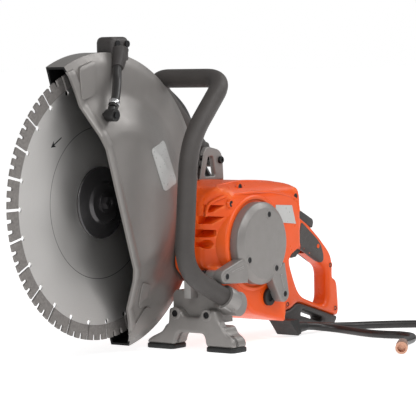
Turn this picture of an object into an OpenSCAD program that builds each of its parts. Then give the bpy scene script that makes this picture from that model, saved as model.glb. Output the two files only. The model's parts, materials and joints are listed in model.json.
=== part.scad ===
// Electric cut-off saw for concrete: a diamond blade in a swivelling guard, a belt-driven cutting
// arm, a motor housing, a looped front handle, a rear D handle and a stand.
// X points forward, Y to the machine's left and Z up. Each sub-part is drawn about the blade's
// axis and then placed, so the origin lies on the ground under the middle of the machine.

/* [Blade] */
// Radius of the blade over its segments
blade_r = 200; // [170:5:240]
// Thickness of the steel core
core_t = 2.6; // [2:0.1:3.4]
// Height of a diamond segment
segment_h = 22; // [12:1:26]
// Thickness of a diamond segment
segment_t = 3.6; // [3.4:0.1:4.4]
// Number of segments round the rim
segments = 27; // [18:1:32]
// Width of the slot between segments
slot_w = 3.2; // [2:0.1:4]
// Radius of the round end of a slot
slot_end_r = 3.6; // [2.5:0.1:5]
// Radius of the arbor hole
arbor_r = 12.7; // [10:0.1:13]
// Radius of the clamping flanges
flange_r = 52.5; // [40:0.5:60]

/* [Guard] */
// Gap between the blade's rim and the guard's inner wall
guard_gap = 14; // [10:1:20]
// Wall thickness of the guard
guard_wall = 3.5; // [3:0.5:5]
// Distance from the blade to the guard's left face
guard_depth = 60; // [52:1:66]
// Distance from the blade to the guard's right face
guard_back = 19; // [18:0.5:20]
// Distance from the blade's axis to the plane of the guard's opening
opening_offset = 24.7; // [10:0.1:40]
// Forward lean of the plane of the opening, degrees
opening_lean = 18.1; // [10:0.1:30]
// Radius of the collar that the guard turns on
collar_r = 38; // [34:0.5:44]

/* [Drive] */
// Radius of the spindle in its bearings
spindle_r = 10; // [8:0.5:11]
// Outer radius of a spindle bearing
spindle_bearing_r = 23.5; // [20:0.5:26]
// Radius of the spindle's pulley
spindle_pulley_r = 36; // [30:1:40]
// Radius of the motor's pulley
motor_pulley_r = 24; // [18:1:28]
// Thickness of the drive belt
belt_t = 4; // [3:0.5:5]
// Radius of the cutting arm's ends
arm_r = 50; // [48:1:56]
// Radius of the motor shaft in its bearings
shaft_r = 7.5; // [6:0.5:9]
// Outer radius of a motor bearing
shaft_bearing_r = 17.5; // [16:0.5:21]
// Radius of the stator
stator_r = 54; // [46:1:56]
// Radius of the rotor
rotor_r = 28; // [22:1:30]
// Gap between the guard's rim and the motor's axis
motor_gap = 16.5; // [15:0.5:24]
// Angle of the cutting arm below the horizontal
arm_drop = 17.65; // [12:0.05:22]

/* [Housing] */
// Distance from the blade to the housing's left face
housing_left = 115; // [110:1:125]
// Distance from the motor's axis to the housing's front face
housing_front = 88; // [82:1:96]
// Distance from the motor's axis to the housing's rear face
housing_rear = 122; // [118:1:136]
// Height of the housing's top above the motor's axis
housing_top = 93; // [88:1:100]
// Depth of the housing's floor below the motor's axis
housing_floor = 126; // [122:1:130]
// Radius of the round side cover
cover_r = 62; // [58:1:66]
// Thickness of the side cover
cover_t = 21; // [19:1:25]

/* [Front handle] */
// Outer radius of the steel tube
tube_r = 11.9; // [9:0.1:12]
// Wall thickness of the steel tube
tube_wall = 2; // [1.5:0.1:3]
// Outer radius of the rubber sleeve
sleeve_r = 14; // [13:0.5:16]
// Gap between the guard's rim and the middle of the top bar
bar_gap = 21; // [19:0.5:30]
// Distance from the blade to the handle's left leg
leg_left = 112; // [106:1:118]
// Distance from the blade to the handle's right leg
leg_right = 25; // [22:1:30]

/* [Rear handle] */
// Distance from the blade to the middle of the rear handle
grip_mid = 62; // [58:1:68]
// Width of the rear handle
grip_w = 30; // [28:1:36]
// Pull of the trigger, degrees
trigger_pull = 10; // [6:1:12]
// Push of the lock-out, degrees
lockout_push = 8; // [5:1:9]

/* [Stand] */
// Gap between the guard's rim and the ground
ground_gap = 7.5; // [6:0.5:20]
// Thickness of a rubber pad
pad_t = 7; // [5:0.5:9]
// Distance from the blade's axis back to the stand's front face
stand_x = 120; // [116:1:135]
// Depth of the stand from front to back
stand_depth = 34; // [28:1:40]

/* [Hidden] */

$fn = 96;
e = 0.02;                 // how far a cutting shape runs past a face
running_gap = 0.05;       // radial clearance of a turning fit
seat_gap = 0.02;          // radial clearance of a pressed or bolted seat
air_gap = 0.4;            // gap between faces that move past each other

// The blade and its clamping stack, as distances along Y
core_r = blade_r - segment_h;
core_y = core_t / 2;
outer_flange_t = 10.7;
inner_flange_t = 7.7;
spindle_left = core_y;
inner_flange_y = -core_y - inner_flange_t;
washer_y = core_y + outer_flange_t;
washer_t = 2.5;
hex_t = 6;
hex_r = 9.8;
bolt_r = 5;
bolt_depth = 22;

// The guard is a solid of revolution about the blade's axis
guard_r = blade_r + guard_gap + guard_wall;
wall_in = -guard_back + guard_wall;   // inner face of the right wall
rim_y = 15;
collar_lip = 4;
guard_clear = 3.5;                    // room left round the guard's path

// The arm
arm_front = -guard_back - 3;          // the arm's left face
arm_back = arm_front - 24;            // the arm's right face
bearing_w = 14;
belt_w = 16;
pulley_w = 20;
pulley_y = arm_back - 24;
belt_guard_depth = 32;
belt_guard_wall = 3;
right_face = arm_back - belt_guard_depth;

// The motor's axis
reach = guard_r + motor_gap;
motor_x = -reach * cos(arm_drop);
motor_z = -reach * sin(arm_drop);
motor_front = 38;                     // where the stator's cavity begins, along Y
core_left = 100;
core_right = 44;
cover_y = housing_left;
cover_face = cover_y + cover_t;
shaft_end = cover_y + 17;
cover_cavity_t = 8;                   // depth of the room for the fan

// Heights and ends
ground = -(guard_r + ground_gap);
floor_rel = ground - motor_z;         // the ground, measured from the motor's axis
handle_rear = 282;                    // from the motor's axis to the rear of the D handle
grip_block_top = 22.5;                // top of the guard's grip above the guard's rim
x_front = blade_r;
x_rear = motor_x - handle_rear;
stand_left = 149;
y_left = stand_left + 1.5;
y_right = right_face;

// The front handle's centre line: corners, and how far each bend runs along its two sides
bar_x = -(guard_r + bar_gap) * cos(48);
bar_z = (guard_r + bar_gap) * sin(48);
socket_at = [-139, leg_left + 14, ground + 77];
elbow_at = [-53, leg_left, ground + 124];
shoulder_at = [-70, leg_left, 86];
fitting_at = [motor_x - 53, -leg_right, motor_z + 137];
handle_path = concat(
    [socket_at],
    bend(socket_at, elbow_at, shoulder_at, 40),
    bend(elbow_at, shoulder_at, [bar_x, leg_left, bar_z], 44),
    bend(shoulder_at, [bar_x, leg_left, bar_z], [bar_x, -leg_right, bar_z], 34),
    bend([bar_x, leg_left, bar_z], [bar_x, -leg_right, bar_z], fitting_at, 34),
    [fitting_at]
);

// Cords and hoses, with the ground at z = 0 for those that lie on it
cable_r = 6;
water_hose_r = 6;
inlet_z = 14;
cable_points = [
    [-365, 93, 14], [-385, 95, 12], [-410, 101, 9], [-440, 113, 7], [-470, 132, 6],
    [-500, 160, 6], [-530, 196, 6], [-562, 245, 6], [-589, 291, 6]
];
water_hose_points = [
    [-365, 106, 14], [-384, 109, 12], [-401, 120, 9], [-409, 140, 7], [-406, 163, 6],
    [-397, 188, 6], [-390, 213, 6], [-390, 238, 6], [-394, 262, 6], [-387, 286, 6],
    [-366, 302, 6], [-340, 312, 6.5], [-311, 323, 8], [-282, 338, 9]
];
coil_at = [-541, 339];
coil_r = 66;
turn_gap = 12;
tail_points = [[-541, 412, 6], [-527, 412, 6], [-513, 412, 6], [-499, 412, 6]];
feed_r = 5;
feed_points = [
    [-53.2, -8, 224], [-63, -8, 224], [-80, -17, 219], [-112, -38, 204], [-148, -48, 188],
    [-185, -51, 177], [-225, -49, 158], [-260, -47, 132], [-284, -50, 104], [-295, -51, 76],
    [-297, -44, 52], [-293, -28, 32], [-290, -12, 12]
];
guard_hose_points = [
    [-14, 29.5, guard_r - 16], [-7, 32.5, guard_r - 25.5], [0, 37.5, guard_r - 39.5],
    [10, 44.5, guard_r - 53.5], [22, 51.5, guard_r - 67.5], [32, 55.5, guard_r - 78.5]
];
guard_hose_r = 6.5;

// ---- helpers ----

function unit(v) = v / norm(v);

// A bend at corner p between a and b that starts and ends a distance from the corner
function bend(a, p, b, run, steps = 8) =
    let (p0 = p + unit(a - p) * run, p2 = p + unit(b - p) * run)
    [for (k = [0 : steps]) let (s = k / steps)
        (1 - s) * (1 - s) * p0 + 2 * s * (1 - s) * p + s * s * p2];

// A smooth line through points
function smooth(p, steps = 3) = concat(
    [for (i = [0 : len(p) - 2], k = [0 : steps - 1])
        let (s = k / steps, a = p[max(i - 1, 0)], b = p[i], c = p[i + 1],
             d = p[min(i + 2, len(p) - 1)])
        0.5 * (2 * b + (c - a) * s + (2 * a - 5 * b + 4 * c - d) * s * s
               + (3 * b - a - 3 * c + d) * s * s * s)],
    [p[len(p) - 1]]);

// Side vectors that turn with a path's directions and don't spin about them
function carried(t, u, i = 0) = i >= len(t) ? []
    : let (v = unit(u - (u * t[i]) * t[i])) concat([v], carried(t, v, i + 1));

function helix(r, length, turns, steps = 12) =
    [for (i = [0 : turns * steps]) let (a = 360 * i / steps)
        [r * cos(a), length * i / (turns * steps), r * sin(a)]];

// A round tube along a path, with a bore where one is given
module tube(path, r, sides = 10, bore = 0) {
    n = len(path);
    t = [for (i = [0 : n - 1]) unit(path[min(i + 1, n - 1)] - path[max(i - 1, 0)])];
    u = carried(t, abs(t[0].z) > 0.8 ? [1, 0, 0] : [0, 0, 1]);
    radii = bore > 0 ? [r, bore] : [r];
    points = [for (q = radii, i = [0 : n - 1], k = [0 : sides - 1]) let (a = 360 * k / sides)
        path[i] + q * (cos(a) * u[i] + sin(a) * cross(t[i], u[i]))];
    m = n * sides;
    last = (n - 1) * sides;
    outer = [for (i = [0 : n - 2], k = [0 : sides - 1])
        [i * sides + k, (i + 1) * sides + k, (i + 1) * sides + (k + 1) % sides,
         i * sides + (k + 1) % sides]];
    inner = [for (f = outer) [m + f[3], m + f[2], m + f[1], m + f[0]]];
    caps = bore > 0
        ? concat([for (k = [0 : sides - 1]) [k, (k + 1) % sides, m + (k + 1) % sides, m + k]],
                 [for (k = [0 : sides - 1]) [last + (k + 1) % sides, last + k, m + last + k,
                                             m + last + (k + 1) % sides]])
        : [[for (k = [0 : sides - 1]) k], [for (k = [sides - 1 : -1 : 0]) last + k]];
    polyhedron(points, concat(outer, bore > 0 ? inner : [], caps));
}

// Everything is drawn about the blade's axis and then placed over the origin
module placed() {
    translate([-(x_front + x_rear) / 2, -(y_left + y_right) / 2, -ground]) children();
}
module at_motor() { translate([motor_x, 0, motor_z]) children(); }
module at_ground() { translate([0, 0, ground]) children(); }

// A cylinder across the machine, at [x, z], from y0 to y1
module across(at, y0, y1, r, r2 = -1) {
    translate([at.x, y0, at.y]) rotate([-90, 0, 0])
        cylinder(r1 = r, r2 = r2 < 0 ? r : r2, h = y1 - y0);
}
// A plate with an outline in X and Z, from y0 to y1
module plate(outline, y0, y1) {
    translate([0, y1, 0]) rotate([90, 0, 0]) linear_extrude(y1 - y0) polygon(outline);
}
// A solid turned about the axis across the machine from [radius, y] points
module turned(outline) { rotate([-90, 0, 0]) rotate_extrude() polygon(outline); }
// A bar along X with an outline in Y and Z, from x0 to x1
module lengthwise(outline, x0, x1) {
    translate([x0, 0, 0]) rotate([90, 0, 90]) linear_extrude(x1 - x0) polygon(outline);
}
module box(low, high) { translate(low) cube(high - low); }
module between(a, b, r, r2 = -1) {
    d = b - a;
    translate(a) rotate([0, acos(d.z / norm(d)), atan2(d.y, d.x)])
        cylinder(r1 = r, r2 = r2 < 0 ? r : r2, h = norm(d));
}

// The outline of a belt round the two pulleys, from the spindle at the origin to the motor
function belt_outline(r1, r2, steps = 30) = let (lean = asin((r1 - r2) / reach)) concat(
    [for (k = [0 : steps]) let (a = 90 - lean + k * (180 + 2 * lean) / steps)
        r1 * [cos(a), sin(a)]],
    [for (k = [0 : steps]) let (a = lean - 90 + k * (180 - 2 * lean) / steps)
        [reach, 0] + r2 * [cos(a), sin(a)]]);

module along_arm() { rotate([0, -180 - arm_drop, 0]) children(); }

// A flat shape round the spindle's and the motor's axes
module arm_shape(r1, r2, y0, y1) { along_arm() plate(belt_outline(r1, r2), y0, y1); }

// ---- blade and spindle ----

module slots(depth_y, w, from_r) {
    for (i = [0 : segments - 1])
        rotate([0, i * 360 / segments, 0])
            box([from_r, -depth_y, -w / 2], [blade_r + 5, depth_y, w / 2]);
}

module blade_core() color("silver") placed() {
    slot_end = core_r - slot_end_r;
    difference() {
        across([0, 0], -core_y, core_y, core_r);
        across([0, 0], -core_y - 1, core_y + 1, arbor_r + running_gap);
        slots(core_y + 1, slot_w, slot_end);
        for (i = [0 : segments - 1])
            rotate([0, i * 360 / segments, 0])
                across([slot_end, 0], -core_y - 1, core_y + 1, slot_end_r);
    }
}

module blade_segments() color("gray") placed() {
    notch_pitch = 360 / segments / 3;
    notch_r = 2.4;
    difference() {
        across([0, 0], -segment_t / 2, segment_t / 2, blade_r);
        across([0, 0], -segment_t, segment_t, core_r);
        slots(segment_t, slot_w, core_r - 5);
        for (i = [0 : segments - 1], k = [1, 2])
            rotate([0, i * 360 / segments + k * notch_pitch, 0])
                across([blade_r, 0], -segment_t, segment_t, notch_r);
    }
}

module outer_flange() color("dimgray") placed()
    turned([[bolt_r + seat_gap, core_y], [flange_r, core_y], [flange_r, core_y + 3],
            [flange_r - 6, core_y + 4], [32, core_y + 7], [28, washer_y],
            [bolt_r + seat_gap, washer_y]]);

module inner_flange() color("dimgray") placed()
    turned([[spindle_r + seat_gap, inner_flange_y], [30, inner_flange_y], [flange_r - 6, -core_y - 4],
            [flange_r, -core_y - 3], [flange_r, -core_y], [arbor_r, -core_y],
            [arbor_r, core_y - 0.2], [spindle_r + seat_gap, core_y - 0.2]]);

module blade_bolt() color("gray") placed() {
    across([0, 0], washer_y, washer_y + washer_t, 15);
    difference() {
        translate([0, washer_y + washer_t, 0]) rotate([-90, 0, 0])
            cylinder(r = hex_r, h = hex_t, $fn = 6);
        across([0, 0], washer_y + washer_t + 4, washer_y + washer_t + hex_t + 1, 5);
    }
    across([0, 0], washer_y - bolt_depth, washer_y + e, bolt_r);
}

module spindle() color("lightgray") placed() {
    depth = washer_y - bolt_depth - 1;
    difference() {
        turned([[0, core_y - 0.2], [spindle_r, core_y - 0.2], [spindle_r, inner_flange_y],
                [14, inner_flange_y], [14, inner_flange_y - 2], [spindle_r, inner_flange_y - 2],
                [spindle_r, arm_back], [spindle_r - 2, arm_back], [spindle_r - 2, pulley_y - 2],
                [0, pulley_y - 2]]);
        across([0, 0], depth, core_y + 1, bolt_r + seat_gap);
    }
}

// A ribbed pulley between pulley_y and pulley_y + pulley_w, with bore b
module pulley(r, b) {
    ribs = 5;
    pitch = belt_w / ribs;
    first = pulley_y + (pulley_w - belt_w) / 2;
    turned(concat(
        [[b, pulley_y], [r + 3, pulley_y], [r + 3, first], [r, first]],
        [for (i = [0 : ribs - 1], k = [0, 1])
            [k == 0 ? r - 2 : r, first + (i + 0.5 + k * 0.5) * pitch]],
        [[r + 3, first + belt_w], [r + 3, pulley_y + pulley_w], [b, pulley_y + pulley_w]]));
}
module spindle_pulley() color("slategray") placed() pulley(spindle_pulley_r, spindle_r - 2);

// ---- motor ----

module motor_shaft() color("lightgray") placed() at_motor()
    turned([[0, pulley_y], [shaft_r, pulley_y], [shaft_r, arm_front + 2], [11, arm_front + 2],
            [11, core_left + 6], [shaft_r, core_left + 6], [shaft_r, shaft_end], [0, shaft_end]]);

module rotor_core() color("gray") placed() at_motor()
    turned([[11, core_right], [rotor_r, core_right], [rotor_r, core_left], [11, core_left]]);

module motor_pulley() color("slategray") placed() at_motor() pulley(motor_pulley_r, shaft_r);

module cooling_fan() color("dimgray") placed() at_motor() {
    fan_y = cover_y - 3;
    blades = 9;
    turned([[shaft_r, fan_y - 3], [48, fan_y - 3], [48, fan_y], [14, fan_y], [14, fan_y + 6],
            [shaft_r, fan_y + 6]]);
    for (i = [0 : blades - 1])
        rotate([0, i * 360 / blades, 0]) box([13, fan_y - e, -1], [46, fan_y + 6, 1]);
}

module stator_core() color("darkgray") placed() at_motor() {
    slots = 12;
    difference() {
        turned([[rotor_r + 1, core_right], [stator_r, core_right], [stator_r, core_left],
                [rotor_r + 1, core_left]]);
        for (i = [0 : slots - 1])
            rotate([0, i * 360 / slots, 0])
                box([rotor_r + 6, core_right - 1, -4], [stator_r - 8, core_left + 1, 4]);
    }
}

module stator_windings() color("peru") placed() at_motor() {
    slots = 12;
    for (end = [[core_right - 5, core_right], [core_left, core_left + 5]])
        turned([[rotor_r + 5, end[0]], [stator_r - 7, end[0]], [stator_r - 7, end[1]],
                [rotor_r + 5, end[1]]]);
    for (i = [0 : slots - 1])
        rotate([0, i * 360 / slots, 0])
            box([rotor_r + 7, core_right - e, -3], [stator_r - 9, core_left + e, 3]);
}

// ---- cutting arm ----

module arm_housing() color("darkgray") placed() {
    lip_y = wall_in + air_gap;
    difference() {
        union() {
            arm_shape(arm_r, arm_r, arm_back, arm_front);
            turned([[0, arm_front - e], [collar_r, arm_front - e], [collar_r, lip_y],
                    [collar_r + collar_lip, lip_y], [collar_r + collar_lip, lip_y + 3],
                    [0, lip_y + 3]]);
        }
        across([0, 0], arm_back - 1, arm_back + bearing_w, spindle_bearing_r);
        across([0, 0], lip_y + 3 - bearing_w, lip_y + 4, spindle_bearing_r);
        across([0, 0], arm_back - 1, lip_y + 4, spindle_r + 3);
        across([motor_x, motor_z], arm_back - 1, arm_back + 11, shaft_bearing_r);
        across([motor_x, motor_z], arm_back - 1, arm_front + 1, 12.5);
        along_arm() box([54, arm_back - 1, -24], [reach - 34, arm_back + 14, 24]);
    }
}

module spindle_bearings() color("silver") placed() {
    lip_y = wall_in + air_gap;
    for (y = [arm_back, lip_y + 3 - bearing_w])
        translate([0, y, 0])
            turned([[spindle_r + running_gap, 0], [spindle_bearing_r - seat_gap, 0],
                    [spindle_bearing_r - seat_gap, bearing_w], [spindle_r + running_gap, bearing_w]]);
}

module motor_bearings() color("silver") placed() at_motor()
    for (y = [arm_back, cover_y + cover_cavity_t])
        translate([0, y, 0])
            turned([[shaft_r + running_gap, 0], [shaft_bearing_r - seat_gap, 0],
                    [shaft_bearing_r - seat_gap, 9], [shaft_r + running_gap, 9]]);

module drive_belt() color("dimgray") placed() {
    y0 = pulley_y + (pulley_w - belt_w) / 2 + air_gap;
    y1 = y0 + belt_w - 2 * air_gap;
    difference() {
        arm_shape(spindle_pulley_r + air_gap + belt_t, motor_pulley_r + air_gap + belt_t, y0, y1);
        arm_shape(spindle_pulley_r + air_gap, motor_pulley_r + air_gap, y0 - 1, y1 + 1);
    }
}

module belt_guard() color("dimgray") placed() {
    floor_y = arm_back - belt_guard_depth;
    inner = arm_r - belt_guard_wall;
    difference() {
        union() {
            arm_shape(arm_r, arm_r, floor_y, arm_back);
            for (s = [-1, 1]) along_arm()
                across([reach / 2, s * (arm_r - 2)], floor_y + 8, arm_back, 8);
        }
        arm_shape(inner, inner, floor_y + belt_guard_wall, arm_back + 1);
        for (i = [0 : 5])
            along_arm() box([60 + i * 18, floor_y - 1, -20], [66 + i * 18, floor_y + 5, 20]);
        for (s = [-1, 1]) along_arm()
            across([reach / 2, s * (arm_r - 2)], floor_y - 1, floor_y + 11, 5);
    }
}

// ---- blade guard ----

// Left-hand outline of the guard as [radius, y], shrunk by a wall thickness w
function guard_side(w) = [
    [guard_r - w, rim_y - w / 2], [guard_r - 14 - w, rim_y + 7 - w],
    [guard_r - 40 - w, rim_y + 12 - w], [guard_r - 59, rim_y + 14 - w],
    [guard_r - 79 - w / 2, guard_depth - 20 - w], [guard_r - 104 - w / 2, guard_depth - 6 - w],
    [guard_r - 122, guard_depth - w], [0, guard_depth - w]];

// The room that the guard needs as it turns
module guard_room() {
    g = guard_clear;
    turned([[0, -guard_back - 2.9], [guard_r + g, -guard_back - 2.9], [guard_r + g, rim_y + g],
            [guard_r - 14 + g, rim_y + 7 + g], [guard_r - 40 + g, rim_y + 12 + g],
            [guard_r - 59 + g, rim_y + 14 + g], [guard_r - 79 + g, guard_depth - 20 + g],
            [guard_r - 104 + g, guard_depth - 6 + g], [guard_r - 122 + g, guard_depth + g],
            [0, guard_depth + g]]);
}

module past_opening() {
    rotate([0, opening_lean, 0])
        box([opening_offset, -100, -2 * guard_r], [3 * guard_r, 100, 2 * guard_r]);
}

module guard_shell() color("darkgray") placed() {
    difference() {
        turned(concat([[0, -guard_back], [guard_r, -guard_back]], guard_side(0)));
        turned(concat([[0, wall_in], [guard_r - guard_wall, wall_in]], guard_side(guard_wall)));
        past_opening();
        across([0, 0], -guard_back - 1, wall_in + 1, collar_r + running_gap);
        across([elbow_x, elbow_z], 20, guard_depth, 4);
    }
}

// The hose's elbow stands on the guard's left face, inwards of the rim
elbow_x = 36;
elbow_z = guard_r - 89.5;
elbow_seat = guard_depth - 11.5;
elbow_top = guard_depth + 4;

module guard_grip() color("dimgray") placed() difference() {
    union() {
        box([-52, -15, guard_r - 12], [-14, 21, guard_r + grip_block_top]);
        box([-34, 21 - e, guard_r - 16], [-6, 37, guard_r + 5]);
    }
    turned([[0, -guard_back - 1], [guard_r + 0.1, -guard_back - 1],
            [guard_r + 0.1, rim_y], [guard_r - 14 + 0.2, rim_y + 7.1], [0, guard_depth]]);
    for (x = grip_screw_x) across([x, guard_r + 12], 15, 22, 3);
}

grip_screw_x = [-44, -22];

module guard_screws() color("black") placed() {
    for (x = grip_screw_x) {
        across([x, guard_r + 12], 16, 21, 3 - seat_gap);
        across([x, guard_r + 12], 21, 23, 5);
    }
    across([elbow_x, elbow_z], elbow_top, elbow_top + 2.5, 5);
}

module guard_hose() color("black") placed() tube(smooth(guard_hose_points, 2), guard_hose_r);

module hose_clamp() color("silver") placed() {
    last = guard_hose_points[len(guard_hose_points) - 1];
    before = guard_hose_points[len(guard_hose_points) - 2];
    a = last + unit(before - last) * 11;
    b = last + unit(before - last) * 4;
    difference() {
        between(a, b, guard_hose_r + 1.6);
        between(a + (a - b), b + (b - a), guard_hose_r + 0.1);
    }
}

module hose_elbow() color("black") placed() {
    last = guard_hose_points[len(guard_hose_points) - 1];
    difference() {
        union() {
            across([elbow_x, elbow_z], elbow_seat, elbow_top, 9);
            between(last, [elbow_x, elbow_top - 8, elbow_z], 7.3);
        }
        across([elbow_x, elbow_z], elbow_top - 6, elbow_top + 1, 2);
    }
    across([elbow_x, elbow_z], elbow_seat - 10.5, elbow_seat + e, 4 - seat_gap);
}

module water_nozzles() color("black") placed() {
    across([elbow_x, elbow_z], 24, 34, 6);
    across([elbow_x, elbow_z], 34 - e, 38, 3);
    across([elbow_x - 4, elbow_z + 4], 6.5, 24 + e, 4);
    rotate([0, 12, 0]) box([-30, wall_in, 120], [20, wall_in + 8, 132]);
    rotate([0, 12, 0]) across([-5, 126], wall_in + 8 - e, -7, 3);
}

// ---- motor housing ----

// Outline of the housing in X and Z, measured from the motor's axis
recess_y = 84;
recess_outline = [
    [-housing_rear - 1, -3], [-95, -24], [-82, -40], [-76, -62], [-76, -housing_floor - 1],
    [-housing_rear - 1, -housing_floor - 1]
];
housing_outline = [
    [housing_front - 16, housing_top - 5], [housing_front, housing_top - 22],
    [housing_front, -33], [housing_front - 16, -44], [47, -63], [8, -106], [-34, -116],
    [-78, -housing_floor], [-housing_rear, -housing_floor], [-housing_rear, housing_top - 12],
    [-77, housing_top - 4], [-20, housing_top], [30, housing_top]
];

module motor_casing() color("orangered") placed() difference() {
    at_motor() difference() {
        plate(housing_outline, arm_front, housing_left);
        across([0, 0], motor_front, housing_left + 1, stator_r);
        across([0, 0], arm_front - 1, motor_front + 1, 12.5);
        box([-housing_rear + 6, motor_front + 6, 6],
            [-stator_r - 6, housing_left - 8, housing_top - 26]);
        box([-housing_rear + 6, motor_front + 6, -housing_floor + 14],
            [-stator_r - 6, recess_y - 6, 6 + e]);
        // the lower rear corner stands back in line with the rear handle
        plate(recess_outline, recess_y, housing_left + 1);
        // the sloping top edges on the left and on the right
        lengthwise([[housing_left - 26, housing_top + 1], [housing_left + 1, housing_top - 16],
                    [housing_left + 1, housing_top + 1]], -housing_rear - 1, housing_front + 1);
        lengthwise([[arm_front + 20, housing_top + 1], [arm_front - 1, housing_top - 16],
                    [arm_front - 1, housing_top + 1]], -housing_rear - 1, housing_front + 1);
        // the belly is narrower than the rest of the housing
        box([-20, arm_front - 1, -housing_floor - 1], [housing_front, 34, -58]);
        // three cooling slots in the front wall
        for (z = [-20, 12, 44])
            box([housing_front - 7, 70, z], [housing_front + 1, 102, z + 7]);
    }
    guard_room();
}

module side_cover() color("darkgray") placed() at_motor() difference() {
    union() {
        turned([[0, cover_y], [cover_r, cover_y], [cover_r, cover_face - 7],
                [cover_r - 9, cover_face], [0, cover_face]]);
        plate([[30, -54], [62, -24], [103, -36], [99, -50], [60, -64]], cover_face - 14,
              cover_face - 2);
        across(arm_end, cover_face - 16, cover_face - 2, 9);
        plate([[-62, 0], [-61, -82], [-44, -90], [-20, -60], [-20, -40]], cover_face - 14,
              cover_face - 2);
        across([-50, -80], cover_face - 16, cover_face - 2, 11);
    }
    across([0, 0], cover_y - 1, cover_y + cover_cavity_t, 51);
    across([0, 0], cover_y, cover_y + cover_cavity_t + 9, shaft_bearing_r);
    for (p = cover_screw_places) across(p, cover_face - 8, cover_face + 1, 4.5);
}

arm_end = [96, -42];
cover_screw_places = [[-9, 43], [42, -22], [-26, -39], arm_end, [-50, -80]];

module side_cover_screws() color("black") placed() at_motor()
    for (p = cover_screw_places) difference() {
        across(p, cover_face - 8, cover_face - 1, 4.5 - seat_gap);
        translate([p.x, cover_face - 4, p.y]) rotate([-90, 0, 0])
            cylinder(r = 2.4, h = 5, $fn = 6);
    }

module name_plate() color("gainsboro") placed() at_motor()
    plate([[-55, 42], [-62, 27], [-108, 22], [-98, 51], [-56, 54]], housing_left,
          housing_left + 0.8);

module casing_screws() color("black") placed() {
    at_motor() {
        for (p = [[52, 62], [74, -20], [-108, 64]])
            across(p, housing_left, housing_left + 2, 4.5);
        for (p = handle_screw_places) across(p, grip_near, grip_near + 1.5, 4);
    }
    for (s = [-1, 1]) along_arm()
        across([reach / 2, s * (arm_r - 2)], arm_back - belt_guard_depth + 8,
               arm_back - belt_guard_depth + 11, 5 - seat_gap);
}

// ---- front handle, frame and stand ----

module handle_tube() color("dimgray") placed()
    tube(handle_path, tube_r, 14, tube_r - tube_wall);
module handle_sleeve() color("dimgray") placed()
    tube(handle_path, sleeve_r, 16, tube_r + 0.3);

handle_in = unit(elbow_at - socket_at);   // from the socket along the tube
leg_in = unit([bar_x, -leg_right, bar_z] - fitting_at);

// The axis of the upper damper, in X and Z
damper_at = [fitting_at.x - 3, fitting_at.z - 16];
damper_y = -leg_right + 17;
damper_gap = 9;
bracket_y = damper_y + damper_gap;
bracket_t = 10;
spring_wire = 1.5;

module handle_end_fitting() color("silver") placed() {
    between(fitting_at, fitting_at - leg_in * 14, sleeve_r + 2, sleeve_r - 2);
    across(damper_at, -leg_right - 9, damper_y, 11);
}

// A coil spring along Y that fills a gap but for a little play at each end
module spring(r, gap, turns) {
    play = 0.2;
    translate([0, spring_wire + play, 0])
        tube(helix(r, gap - 2 * (spring_wire + play), turns), spring_wire, 8);
}

module upper_damper() color("black") placed()
    translate([damper_at.x, damper_y, damper_at.y]) spring(8, damper_gap, 1.5);

module upper_bracket() color("darkgray") placed() difference() {
    at_motor() difference() {
        plate([[-4, 84], [-18, 138], [-26, 143], [-56, 137], [-64, 126], [-66, 84]], bracket_y,
              bracket_y + bracket_t);
        plate([[-18, 100], [-25, 128], [-38, 128], [-43, 106], [-58, 106], [-58, 100]],
              bracket_y + 4, bracket_y + bracket_t + 1);
        plate(housing_outline, bracket_y - 1, bracket_y + bracket_t + 1);
    }
    across(damper_at, bracket_y - 1, bracket_y + bracket_t + 1, 4);
}

module frame_bolts() color("black") placed() {
    for (y = stand_bolt_y)
        translate([-stand_x, y, ground + stand_bolt_z]) rotate([0, 90, 0]) {
            cylinder(r = 6.5, h = 4);
            translate([0, 0, -28]) cylinder(r = 4 - seat_gap, h = 28 + e);
        }
    across(damper_at, bracket_y, bracket_y + bracket_t, 4 - seat_gap);
    across(damper_at, bracket_y + bracket_t, bracket_y + bracket_t + 4, 6);
}

stand_bolt_y = [42, 100.5];
stand_bolt_z = 54;
frame_top = 88;
frame_bottom = 42;
spring_at = [motor_x, motor_z] + arm_end;
spring_gap = 24;
seat_depth = 20;
seat_y = cover_face - 16 - seat_depth;

module handle_frame() color("darkgray") placed() {
    side = [[30, frame_top - 6], [36, frame_top], [104, frame_top], [114, frame_top - 14],
            [116, frame_bottom], [30, frame_bottom]];
    low = [-stand_x - 30, ground + 70];
    difference() {
        union() {
            at_ground() lengthwise(side, -stand_x - 44, -stand_x - 12);
            at_ground() box([-stand_x - 64, 62, frame_bottom + 6], [-stand_x - 40, 84, 70]);
            // lug that carries the lower spring
            box([spring_at.x - 7, seat_y - spring_gap - 12, ground + frame_top - 10],
                [spring_at.x + 12, seat_y - spring_gap, spring_at.y + 10]);
            // socket of the front handle
            across(low, 86, leg_left + 28, 18);
            between(socket_at - handle_in * 12, socket_at + handle_in * 10, sleeve_r + 4.5);
        }
        between(socket_at, socket_at + handle_in * 60, sleeve_r + seat_gap);
        for (y = stand_bolt_y)
            translate([-stand_x - 40, y, ground + stand_bolt_z]) rotate([0, 90, 0])
                cylinder(r = 4, h = 40);
        guard_room();
    }
}

module spring_seat() color("darkgray") placed()
    across(spring_at, seat_y, cover_face - 16, 8.5);

module lower_spring() color("black") placed()
    translate([spring_at.x, seat_y - spring_gap, spring_at.y]) spring(6.5, spring_gap, 5);

module rubber_stop() color("black") placed() at_motor() difference() {
    across([-33, -84], housing_left, housing_left + 4.5, 13);
    across([-33, -84], housing_left + 1.5, housing_left + 5, 7);
}

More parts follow.
